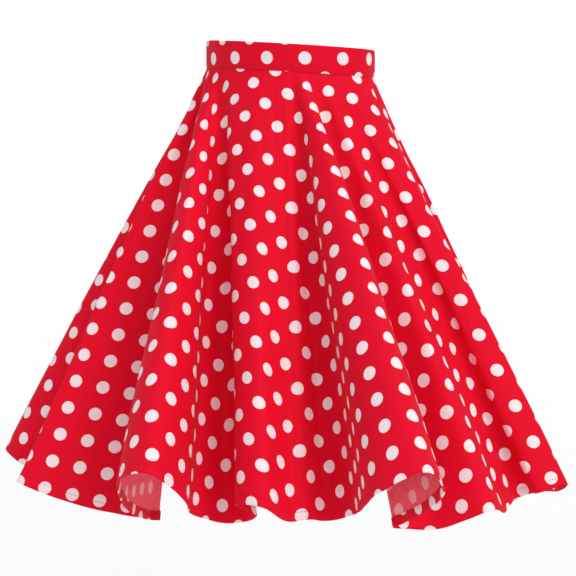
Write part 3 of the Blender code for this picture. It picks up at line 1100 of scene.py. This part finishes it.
@dataclass(frozen=True)
class PlainGround(Finish):
    """Pale paper for the floor and the wall behind."""

    name: str = "pale_paper"
    colour: Colour = (0.985, 0.985, 0.985, 1.0)

    def inputs(self, sketch: NodeSketch) -> Inputs:
        """What the shader's inputs are set or joined to.

        Args:
            sketch: The material's nodes.

        Returns:
            The name of each input, with its value or the socket to join it to.
        """
        mottle = sketch.speckle(sketch.own_place(), scale=3.0)
        return {
            "Base Color": self.colour,
            "Roughness": sketch.remap(mottle, 0.3, 0.7, 0.86, 0.94),
            "Specular IOR Level": 0.1,
        }


@dataclass(frozen=True)
class ProfileRow:
    """One row of a panel's cross-section, from the waist down and round the turned-up hem.

    from_hem is the height above the hem edge along the cloth, offset is how far the row stands out of the
    middle surface, and past_fold is True on the turned-up layer.
    """

    from_hem: float
    offset: float
    side: Side
    past_fold: bool = False


INSIDE_OFFSET = OUTER_OFFSET - CLOTH_THICKNESS
# Rows round the turned-up hem, down the outside and up the inside. Columns: from_hem and offset
HEM_DOWN = (
    (0.0120, 0.00080),
    (0.0110, 0.00078),
    (0.0106, 0.00050),
    (0.0102, 0.00025),
    (0.0098, 0.00050),
    (0.0093, 0.00080),
    (0.0060, 0.00085),
    (0.0028, 0.00082),
    (0.0010, 0.00066),
    (0.0003, 0.00040),
    (0.0000, -0.00005),
)
HEM_UP = (
    (0.0000, -0.00060),
    (0.0003, -0.00095),
    (0.0012, -0.00125),
    (0.0055, -0.00130),
    (0.0096, -0.00125),
    (0.0102, -0.00100),
    (0.0108, -0.00125),
    (0.0116, -0.00122),
    (0.0121, -0.00095),
    (0.0122, -0.00055),
    (0.0118, -0.00020),
)
HEM_PROFILE = [
    ProfileRow(*row, Side.OUTSIDE, past_fold)
    for past_fold, rows in ((False, HEM_DOWN), (True, HEM_UP))
    for row in rows
]


def rounded_edge(distance: Points, width: float) -> Points:
    """Share of full thickness near an edge that is rounded over a width."""
    share = np.clip(distance / width, 0.0, 1.0)
    return np.sqrt(1.0 - (1.0 - share) ** 2)


@dataclass
class SkirtPanel:
    """One panel of the circle: a thin shell on its solid, with its hem turned up inside."""

    name: str
    cloth: HangingCloth
    cut_from: float
    cut_to: float
    columns: int
    rows: int = 64
    row_crowding: float = 1.2
    above_turn_up: float = 0.0135
    under_turn_up: float = 0.0119
    under_band: float = 0.002
    seam_gap: float = 0.00004
    seam_depth: float = 0.6
    edge_steps: tuple[float, ...] = (0.0, 0.00003, 0.0003, 0.0008)

    def profile(self) -> list[ProfileRow]:
        """Rows from the waist down the outside, round the hem and up the inside.

        Returns:
            The rows, in order round the cross-section.
        """
        shares = np.linspace(0.0, 1.0, self.rows) ** self.row_crowding
        top = SKIRT_LENGTH - shares * (SKIRT_LENGTH - self.above_turn_up)
        outside = [ProfileRow(height, OUTER_OFFSET, Side.OUTSIDE) for height in top]
        heights = [self.under_turn_up, *top[::-1]]
        inside = [ProfileRow(height, INSIDE_OFFSET, Side.INSIDE) for height in heights]
        return outside + HEM_PROFILE + inside

    def edge_distance(self, radius: float) -> tuple[Points, Points]:
        """Cut angles of the columns at a radius, and how far each is from the nearer seam.

        Args:
            radius: Radius of the row in the flat circle.

        Returns:
            The angles and the distances, one for each column.
        """
        width = math.radians(self.cut_to - self.cut_from) * radius - self.seam_gap
        steps = np.array(self.edge_steps)
        middle = np.linspace(steps[-1], width - steps[-1], self.columns)[1:-1]
        along = np.concatenate([steps, middle, width - steps[::-1]])
        angles = self.cut_from + np.degrees((along + self.seam_gap / 2.0) / radius)
        return angles, np.minimum(along, width - along)

    def ring_points(self, row: ProfileRow) -> tuple[Points, Points]:
        """Positions and flat-cut coordinates of one row.

        Args:
            row: The row of the cross-section.

        Returns:
            The positions and the coordinates, one for each column.
        """
        radius = WAIST_CUT_RADIUS + SKIRT_LENGTH - row.from_hem
        run = 1.0 - row.from_hem / SKIRT_LENGTH
        angles, from_edge = self.edge_distance(radius)
        rounded = self.seam_depth + (1.0 - self.seam_depth) * rounded_edge(from_edge, self.edge_steps[-1])
        thickness = np.where(from_edge > 0.0, rounded, 0.0)
        offset = INSIDE_OFFSET + (row.offset - INSIDE_OFFSET) * thickness
        places = self.cloth.surface(run, angles, offset)
        printed = radius + 2.0 * row.from_hem if row.past_fold else radius
        turn = np.radians(angles)
        return places, np.stack([printed * np.sin(turn), -printed * np.cos(turn)], axis=-1)

    def build(self, outside: bpy.types.Material, inside: bpy.types.Material) -> bpy.types.Object:
        """Make the panel, put it on its body and hide its solid.

        Args:
            outside: Material of the right side.
            inside: Material of the wrong side.

        Returns:
            The panel.
        """
        sketch = MeshSketch(self.name)
        profile = self.profile()
        rows = [self.ring_points(row) for row in profile]
        lift = np.array([0.0, 0.0, self.under_band])
        first, last = ((places + lift, flat) for places, flat in (rows[0], rows[-1]))
        rows = [first, *rows, last, first]
        profile = [profile[0]] + profile + 2 * [profile[-1]]
        start = 0
        for end in range(1, len(profile)):
            if end == len(profile) - 1 or profile[end + 1].side is not profile[end].side:
                stretch = rows[start : end + 1]
                sketch.patch(
                    np.array([places for places, _ in stretch]),
                    np.array([flat for _, flat in stretch]),
                    profile[end].side,
                )
                start = end
        item = sketch.build(outside, inside)
        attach(item, SKIRT_BODY)
        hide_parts(self.name.removesuffix("_cloth"))
        return item


@dataclass
class StitchRow:
    """A row of lockstitches along the cloth: short rounded threads that dip in at both ends.

    Each section of a stitch has its place along it, its share of the full thickness, and its lift.
    """

    name: str
    pitch: float = 0.0029
    stitch: float = 0.0023
    thickness: float = 0.00030
    sections: tuple[tuple[float, float, float], ...] = (
        (-1.0, 0.30, -0.9),
        (-0.6, 1.0, 0.3),
        (0.6, 1.0, 0.3),
        (1.0, 0.30, -0.9),
    )
    sides: int = 5

    def lay(self, sketch: MeshSketch, start: Points, end: Points, out: Points) -> None:
        """Lay one stitch between each pair of points.

        Args:
            sketch: The mesh to add to.
            start: Where each stitch starts, as rows of 3.
            end: Where each stitch ends.
            out: The way out of the cloth at each stitch.
        """
        middle = (start + end) / 2.0
        half = (end - start) / 2.0
        across = unit(np.cross(out, half))
        turns = np.arange(self.sides) / self.sides * math.tau
        rings = []
        for along, size, lift in self.sections:
            centre = middle + half * along + out * lift * self.thickness / 2.0
            radius = self.thickness / 2.0 * size
            around = [centre + radius * (math.cos(t) * out + math.sin(t) * across) for t in turns]
            rings.append(np.stack(around, axis=1))
        places = np.stack(rings, axis=1)
        sketch.patch(places, np.zeros(places.shape[:-1] + (2,)), Side.OUTSIDE, closed=True)

    def finish(self, sketch: MeshSketch, thread: bpy.types.Material, slot: str) -> bpy.types.Object:
        """Make the stitches' object and put it on the skirt's body.

        Args:
            sketch: The mesh of the stitches.
            thread: Their material.
            slot: Not used.

        Returns:
            The stitches.
        """
        item = sketch.build(thread)
        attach(item, SKIRT_BODY)
        return item


@dataclass
class HemStitching(StitchRow):
    """The machine stitching that holds the hem, on both faces of the cloth."""

    cloth: HangingCloth = field(kw_only=True)
    outside_offset: float = 0.00040
    inside_offset: float = -0.00112

    def build(self, thread: bpy.types.Material) -> bpy.types.Object:
        """Make the stitches and put them on the skirt's body.

        Args:
            thread: Material of the thread.

        Returns:
            The stitches.
        """
        sketch = MeshSketch(self.name)
        run = 1.0 - HEM_STITCH_HEIGHT / SKIRT_LENGTH
        number = int(self.cloth.hem_length / self.pitch)
        step = 360.0 / number
        middles = np.arange(number) * step
        half = step / 2.0 * self.stitch / self.pitch
        normal = self.cloth.normals(run, middles)
        for offset, way in ((self.outside_offset, 1.0), (self.inside_offset, -1.0)):
            offsets = np.full(number, offset)
            start, end = (self.cloth.surface(run, middles + turn * half, offsets) for turn in (-1.0, 1.0))
            self.lay(sketch, start, end, normal * way)
        return self.finish(sketch, thread, "dotted_cotton")


@dataclass
class SeamAllowances:
    """The two edges of a seam, pressed open inside the skirt and overlocked."""

    name: str
    cloth: HangingCloth
    cut: float
    width: float = 0.0135
    thickness: float = 0.0005
    under: float = 0.00015
    from_seam: float = 0.0003
    edge_round: float = 0.0002
    from_waist: float = 0.00234
    above_turn_up: float = 0.001
    rows: int = 60
    columns: int = 6

    def strip(self, run: float, way: float, distances: Points, offsets: Points) -> tuple[Points, Points]:
        """Positions and flat-cut coordinates of a row across one edge.

        Args:
            run: Run of the row, from 0 to 1.
            way: -1 or 1, for the edge on one side of the seam or the other.
            distances: How far each point is from the seam.
            offsets: How far each point stands out of the middle surface.

        Returns:
            The positions and the coordinates, one for each point.
        """
        radius = WAIST_CUT_RADIUS + run * SKIRT_LENGTH
        angles = self.cut + way * np.degrees(distances / radius)
        cut = np.radians(self.cut) - way * distances / radius
        order = np.argsort(angles)
        places = np.empty((len(angles), 3))
        places[order] = self.cloth.surface(run, angles[order], offsets[order])
        return places, np.stack([radius * np.sin(cut), -radius * np.cos(cut)], axis=-1)

    def build(self, cotton: bpy.types.Material) -> bpy.types.Object:
        """Make both edges and put them on the skirt's body.

        Args:
            cotton: Material of the cloth.

        Returns:
            Both edges, as one piece.
        """
        near = INSIDE_OFFSET - self.under
        far = near - self.thickness
        across = np.linspace(self.from_seam, self.width, self.columns)
        distances = np.concatenate([across, [self.width + self.edge_round], across[::-1]])
        middle = [(near + far) / 2.0]
        offsets = np.concatenate([np.full(self.columns, near), middle, np.full(self.columns, far)])
        bottom = SKIRT_LENGTH - HEM_TURN_UP - self.above_turn_up
        runs = np.linspace(self.from_waist, bottom, self.rows) / SKIRT_LENGTH
        sketch = MeshSketch(self.name)
        for way in (-1.0, 1.0):
            strips = [self.strip(run, way, distances, offsets) for run in runs]
            places = np.array([place for place, _ in strips])
            flat = np.array([printed for _, printed in strips])
            if way > 0.0:
                places, flat = places[:, ::-1], flat[:, ::-1]
            sketch.patch(places, flat, Side.OUTSIDE, closed=True)
        item = sketch.build(cotton)
        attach(item, SKIRT_BODY)
        return item


@dataclass
class Overlock(StitchRow):
    """Zigzag thread over the raw edges of a seam."""

    edges: SeamAllowances = field(kw_only=True)
    reach: float = 0.0040
    past_edge: float = 0.0003
    out_step: float = 0.001
    sink: float = 0.2
    from_waist: float = 0.00351
    above_turn_up: float = 0.002
    rail_steps: int = 90

    def rail(self, way: float, distance: float, offset: float, runs: Points) -> Points:
        """Points along one edge of the seam at a distance from it.

        Args:
            way: -1 or 1, for the edge on one side of the seam or the other.
            distance: How far the points are from the seam.
            offset: How far they stand out of the middle surface.
            runs: Run of each point, in rising order.

        Returns:
            The points, one in each row.
        """
        coarse = np.linspace(runs[0], runs[-1], self.rail_steps)
        place = np.array([distance]), np.array([offset])
        line = [self.edges.strip(run, way, *place)[0][0] for run in coarse]
        return np.stack([np.interp(runs, coarse, axis) for axis in np.array(line).T], axis=-1)

    def build(self, thread: bpy.types.Material) -> bpy.types.Object:
        """Make the stitches of both edges and put them on the skirt's body.

        Args:
            thread: Material of the thread.

        Returns:
            The stitches of both edges, as one piece.
        """
        edges = self.edges
        sketch = MeshSketch(self.name)
        offset = INSIDE_OFFSET - edges.under - edges.thickness - self.thickness * self.sink
        bottom = SKIRT_LENGTH - HEM_TURN_UP - self.above_turn_up
        runs = np.arange(self.from_waist, bottom, self.pitch / 2.0) / SKIRT_LENGTH
        odd = (np.arange(len(runs)) % 2)[:, None]
        for way in (-1.0, 1.0):
            reach = edges.width + self.past_edge
            outer = self.rail(way, reach, offset, runs)
            inner = self.rail(way, reach - self.reach, offset, runs)
            above = self.rail(way, edges.width, offset - self.out_step, runs)
            places = outer + (inner - outer) * odd
            self.lay(sketch, places[:-1], places[1:], unit(above - outer)[:-1])
        return self.finish(sketch, thread, "dotted_cotton")


@dataclass
class ZipTape:
    """The zip inside the centre-back seam: two woven tapes, the coil between them, and its stitching."""

    cloth: HangingCloth
    half_width: float = 0.0110
    slit: float = 0.0006
    length: float = 0.180
    top_inset: float = 0.003
    offset_on_band: float = -0.0016
    offset_on_skirt: float = -0.0009
    step_in: float = 0.008
    thickness: float = 0.0005
    rows: int = 70
    columns: int = 7
    coil_half_width: float = 0.0019
    coil_pitch: float = 0.0013
    coil_lean: float = 0.3
    coil_lift: float = 0.0002
    stitch_place: float = 0.0062
    stitch_insets: tuple[float, float] = (0.002, 0.004)

    def inner_face(self, down: float) -> float:
        """How far the tape's inner face stands out of the middle surface: negative, as it is inside."""
        outer = np.interp(down, (0.0, self.step_in), (self.offset_on_band, self.offset_on_skirt))
        return float(outer) - self.thickness

    def frame_at(self, down: float, spread: Points) -> tuple[Points, Points]:
        """Places and outward normals across the zip, at a distance down from the waist seam.

        Args:
            down: Distance below the waist seam along the cloth, negative on the band.
            spread: Distances from the middle of the zip.

        Returns:
            Points on the middle surface of the band or the skirt, and their normals.
        """
        waist = self.cloth.waist
        if down <= 0.0:
            angles = waist.angle_at(180.0 + np.degrees(spread / WAIST_CUT_RADIUS))
            return waist.point(angles) + np.array([0.0, 0.0, -down]), waist.normal(angles)
        run = down / SKIRT_LENGTH
        angles = 180.0 + np.degrees(spread / (WAIST_CUT_RADIUS + down))
        return self.cloth.surface(run, angles, np.zeros_like(spread)), self.cloth.normals(run, angles)

    def downs(self, count: int) -> Points:
        """Even places down the zip."""
        return np.linspace(self.top_inset - BAND_HEIGHT, self.length, count)

    def build_tape(self, cloth: bpy.types.Material) -> bpy.types.Object:
        """Make the two tapes, put them on the skirt's body and hide their solid.

        Args:
            cloth: Material of the tapes.

        Returns:
            Both tapes, as one piece.
        """
        sketch = MeshSketch("zip_tape_woven")
        across = np.linspace(self.slit, self.half_width, self.columns)
        above_inner = np.repeat([self.thickness, 0.0], self.columns)
        for way in (-1.0, 1.0):
            spread = way * np.concatenate([across, across[::-1]])
            places = []
            for down in self.downs(self.rows):
                order = np.argsort(spread)
                middle, normal = np.empty((2, 2 * self.columns, 3))
                middle[order], normal[order] = self.frame_at(down, spread[order])
                places.append(middle + normal * (self.inner_face(down) + above_inner)[:, None])
            grid = np.array(places)
            if way > 0.0:
                grid = grid[:, ::-1]
            sketch.patch(grid, np.zeros(grid.shape[:-1] + (2,)), Side.OUTSIDE, closed=True)
        item = sketch.build(cloth)
        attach(item, SKIRT_BODY)
        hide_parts("zip_tape")
        return item

    def build_coil(self, plastic: bpy.types.Material) -> bpy.types.Object:
        """Make the coil's turns along the middle of the zip.

        Args:
            plastic: Material of the coil.

        Returns:
            The coil.
        """
        coil = StitchRow("zip_coil", thickness=0.0008, sides=8)
        sketch = MeshSketch(coil.name)
        starts, ends, outs = [], [], []
        turns = int((self.length + BAND_HEIGHT) / self.coil_pitch)
        for lean, down in zip(cycle((-self.coil_lean, self.coil_lean)), self.downs(turns)):
            spread = self.coil_half_width * np.array([lean - 1.0, lean + 1.0])
            middle, normal = self.frame_at(down, spread)
            middle += normal * (self.inner_face(down) - self.coil_lift)
            starts.append(middle[0])
            ends.append(middle[1])
            outs.append(-normal.mean(axis=0))
        coil.lay(sketch, np.array(starts), np.array(ends), unit(np.array(outs)))
        return coil.finish(sketch, plastic, "zip_tape_cloth")

    def build_stitches(self, thread: bpy.types.Material) -> bpy.types.Object:
        """Make the two rows of stitches that hold the tapes.

        Args:
            thread: Material of the thread.

        Returns:
            The stitches of both tapes, as one piece.
        """
        row = StitchRow("zip_stitching")
        sketch = MeshSketch(row.name)
        above, below = self.stitch_insets
        edges = np.arange(self.top_inset - BAND_HEIGHT + above, self.length - below, row.pitch)
        for place in (-self.stitch_place, self.stitch_place):
            frames = [self.frame_at(down, np.array([place])) for down in edges]
            middle = np.array([m[0] + n[0] * self.inner_face(down) for (m, n), down in zip(frames, edges)])
            normal = np.array([n[0] for _, n in frames])
            share = row.stitch / row.pitch
            row.lay(sketch, middle[:-1], middle[:-1] + (middle[1:] - middle[:-1]) * share, -normal[:-1])
        return row.finish(sketch, thread, "zip_tape_cloth")


# Cross-section of the band: height above the waist seam, and how far the cloth stands out of the middle
BAND_PROFILE = (
    (0.0025, 0.00090),
    (0.0007, 0.00090),
    (0.0001, 0.00112),
    (0.0004, 0.00142),
    (0.0014, 0.00155),
    (0.0060, 0.00165),
    (0.0175, 0.00170),
    (0.0280, 0.00165),
    (0.0325, 0.00152),
    (0.0341, 0.00130),
    (0.0348, 0.00085),
    (0.0350, 0.00000),
    (0.0348, -0.00085),
    (0.0341, -0.00130),
    (0.0325, -0.00150),
    (0.0175, -0.00152),
    (0.0014, -0.00150),
    (0.0004, -0.00142),
    (0.0001, -0.00112),
    (0.0007, -0.00090),
    (0.0025, -0.00090),
)


@dataclass
class Waistband:
    """The band: cloth folded over its stiffener, closed at centre back."""

    waist: WaistLine
    name: str = "waistband_cloth"
    columns: int = 420
    seam_gap: float = 0.0004
    edge_steps: tuple[float, ...] = (0.0, 0.0002, 0.0007, 0.0015)
    wave: float = 0.0005
    wave_along: float = 0.06
    wave_up: float = 0.05
    seed: float = 3.1

    def build(self, cotton: bpy.types.Material) -> bpy.types.Object:
        """Make the band, put it on the skirt's body and hide its solid.

        Args:
            cotton: Material of the cloth.

        Returns:
            The band.
        """
        girth = WAIST_CUT_RADIUS * math.tau - self.seam_gap
        steps = np.array(self.edge_steps)
        middle = np.linspace(steps[-1], girth - steps[-1], self.columns)[1:-1]
        along = np.concatenate([steps, middle, girth - steps[::-1]])
        thickness = rounded_edge(np.minimum(along, girth - along), steps[-1])
        shares = np.degrees((along + self.seam_gap / 2.0) / WAIST_CUT_RADIUS) - 180.0
        angles = self.waist.angle_at(shares)
        seam, out = self.waist.point(angles), self.waist.normal(angles)
        places, flat = [], []
        printed = 0.0
        previous: Optional[tuple[float, float]] = None
        for height, offset in BAND_PROFILE:
            if previous is not None:
                printed += math.dist(previous, (height, offset))
            previous = (height, offset)
            swell = math.sin(math.pi * height / BAND_HEIGHT) * self.wave
            level = (height / self.wave_up, self.seed)
            wave = np.array([noise.noise((x / self.wave_along, *level)) for x in along]) * swell
            places.append(seam + out * (offset * thickness + wave)[:, None] + np.array([0.0, 0.0, height]))
            flat.append(np.stack([along - girth / 2.0, np.full_like(along, printed)], axis=-1))
        sketch = MeshSketch(self.name)
        sketch.patch(np.array(places)[::-1], np.array(flat)[::-1], Side.OUTSIDE)
        item = sketch.build(cotton)
        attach(item, SKIRT_BODY)
        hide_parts("waistband")
        return item


@dataclass
class Skirt:
    """The whole skirt: its cloth, its seams, its stitching and its zip."""

    cloth: HangingCloth = field(default_factory=HangingCloth)

    def panels(self) -> Iterable[SkirtPanel]:
        """The three panels of the circle.

        Returns:
            The front, then the left and the right of the back.
        """
        side = SIDE_SEAM_CUT_ANGLE
        yield SkirtPanel("skirt_front_cloth", self.cloth, -side, side, 420)
        yield SkirtPanel("skirt_back_left_cloth", self.cloth, side, 180.0, 210)
        yield SkirtPanel("skirt_back_right_cloth", self.cloth, 180.0, 360.0 - side, 210)

    def seams(self) -> Iterable[SeamAllowances]:
        """The inside edges of the side seams and the centre-back seam.

        Returns:
            The allowances of each seam, from the wearer's left round to the right.
        """
        side = SIDE_SEAM_CUT_ANGLE
        for name, cut in (("left", side), ("centre_back", 180.0), ("right", 360.0 - side)):
            yield SeamAllowances(f"seam_allowances_{name}", self.cloth, cut)

    def build(self) -> list[bpy.types.Object]:
        """Build the pieces from the cloth inwards.

        Returns:
            Every piece, with the two solids that only get a finish last.
        """
        outside = DottedCotton("dotted_cotton_outside", SKIRT_DOTS).material()
        inside = CottonInside().material()
        thread = SewingThread().material()
        pieces = [panel.build(outside, inside) for panel in self.panels()]
        band_cotton = DottedCotton("dotted_cotton_band", BAND_DOTS).material()
        pieces.append(Waistband(self.cloth.waist).build(band_cotton))
        pieces.append(HemStitching("hem_stitching", cloth=self.cloth).build(thread))
        for seam in self.seams():
            pieces.append(seam.build(outside))
            overlock = Overlock(seam.name.replace("seam_allowances", "overlock"), pitch=0.0036, edges=seam)
            pieces.append(overlock.build(thread))
        return pieces + self.build_zip(thread)

    def build_zip(self, thread: bpy.types.Material) -> list[bpy.types.Object]:
        """Build the zip's tapes and coil, and finish its slider and pull.

        Args:
            thread: Material of the thread.

        Returns:
            The pieces of the zip.
        """
        zip_tape = ZipTape(self.cloth)
        made = [
            zip_tape.build_tape(TapeCloth().material()),
            zip_tape.build_coil(CoilPlastic().material()),
            zip_tape.build_stitches(thread),
        ]
        metal = EnamelledMetal().material()
        for name in ("zip_slider", "zip_pull"):
            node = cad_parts[name]
            node.data.materials.clear()
            node.data.materials.append(metal)
            made.append(node)
        return made


@dataclass(frozen=True)
class Backdrop:
    """A round pale floor that curves up into a low wall on all sides."""

    floor: float = -1.02
    inner_radius: float = 3.0
    flat_radius: float = 10.5
    height: float = 2.2
    sides: int = 96
    steps: int = 13

    def build(self) -> bpy.types.Object:
        """Make the sheet round the skirt.

        Returns:
            The sheet.
        """
        rise = np.linspace(0.0, math.pi / 2.0, self.steps)
        radii = np.concatenate([[0.0, self.inner_radius], self.flat_radius + self.height * np.sin(rise)])
        heights = np.concatenate([[0.0, 0.0], self.height * (1.0 - np.cos(rise))])
        turns = np.arange(self.sides) / self.sides * math.tau
        level = np.stack([np.cos(turns), np.sin(turns), np.zeros(self.sides)], axis=-1)
        places = level[None] * radii[:, None, None]
        places[..., 2] = self.floor + heights[:, None]
        sketch = MeshSketch("backdrop")
        sketch.patch(places, places[..., :2], Side.OUTSIDE, closed=True)
        item = sketch.build(PlainGround().material())
        return item


@dataclass(frozen=True)
class SoftLight:
    """A broad distant light, placed by azimuth and elevation."""

    name: str
    azimuth: float
    elevation: float
    strength: float
    spread_deg: float
    distance: float = 4.0

    def build(self) -> bpy.types.Object:
        """Make the light, aimed at the origin.

        Returns:
            The light.
        """
        data = bpy.data.lights.new(self.name, "SUN")
        data.energy = self.strength
        data.angle = math.radians(self.spread_deg)
        plan = plan_direction(self.azimuth)
        towards = Vector((plan[0], plan[1], math.tan(math.radians(self.elevation))))
        item = bpy.data.objects.new(self.name, data)
        item.location = towards * self.distance
        item.rotation_euler = towards.to_track_quat("Z", "Y").to_euler()
        bpy.context.scene.collection.objects.link(item)
        return item


@dataclass(frozen=True)
class StudioLights:
    """Even light all round, a soft key and a low light from the right, a weak fill and a light overhead."""

    lights: tuple[SoftLight, ...] = (
        SoftLight("key", 76.0, 42.0, 1.22, 26.0),
        SoftLight("front", 50.0, 9.0, 0.50, 32.0),
        SoftLight("fill", -40.0, 10.0, 0.10, 60.0),
        SoftLight("overhead", 38.0, 85.0, 1.05, 34.0),
    )
    surroundings: float = 0.36

    def build(self) -> None:
        """Make the lights and the even surroundings."""
        for light in self.lights:
            light.build()
        world = bpy.data.worlds.new("studio")
        world.use_nodes = True
        sky = world.node_tree.nodes["Background"]
        sky.inputs["Color"].default_value = (1.0, 1.0, 1.0, 1.0)
        sky.inputs["Strength"].default_value = self.surroundings
        bpy.context.scene.world = world


@dataclass(frozen=True)
class PhotoCamera:
    """The camera where the photo was taken from."""

    azimuth: float = 38.0
    distance: float = 2.8
    height: float = -0.0526
    pitch_down_deg: float = 4.99
    lens: float = 134.6
    sensor_width: float = 36.0
    shift_x: float = -0.00347
    sees_to: float = 50.0

    def build(self) -> bpy.types.Object:
        """Make the camera and look through it.

        Returns:
            The camera.
        """
        data = bpy.data.cameras.new("photo_camera")
        data.sensor_width = self.sensor_width
        data.lens = self.lens
        data.shift_x = self.shift_x
        data.clip_end = self.sees_to
        item = bpy.data.objects.new("photo_camera", data)
        plan = plan_direction(self.azimuth) * self.distance
        item.location = (plan[0], plan[1], self.height)
        tilt = math.pi / 2.0 - math.radians(self.pitch_down_deg)
        item.rotation_euler = (tilt, 0.0, math.radians(self.azimuth))
        bpy.context.scene.collection.objects.link(item)
        bpy.context.scene.camera = item
        return item


def main() -> None:
    """Build the studio and every piece, and log how many faces each piece has."""
    bpy.context.scene.view_settings.view_transform = "Standard"
    PhotoCamera().build()
    StudioLights().build()
    Backdrop().build()
    for piece in Skirt().build():
        log.info("%s: %d faces", piece.name, len(piece.data.polygons))


if __name__ == "__main__":
    logging.basicConfig(level=logging.INFO, format="%(message)s")
    main()
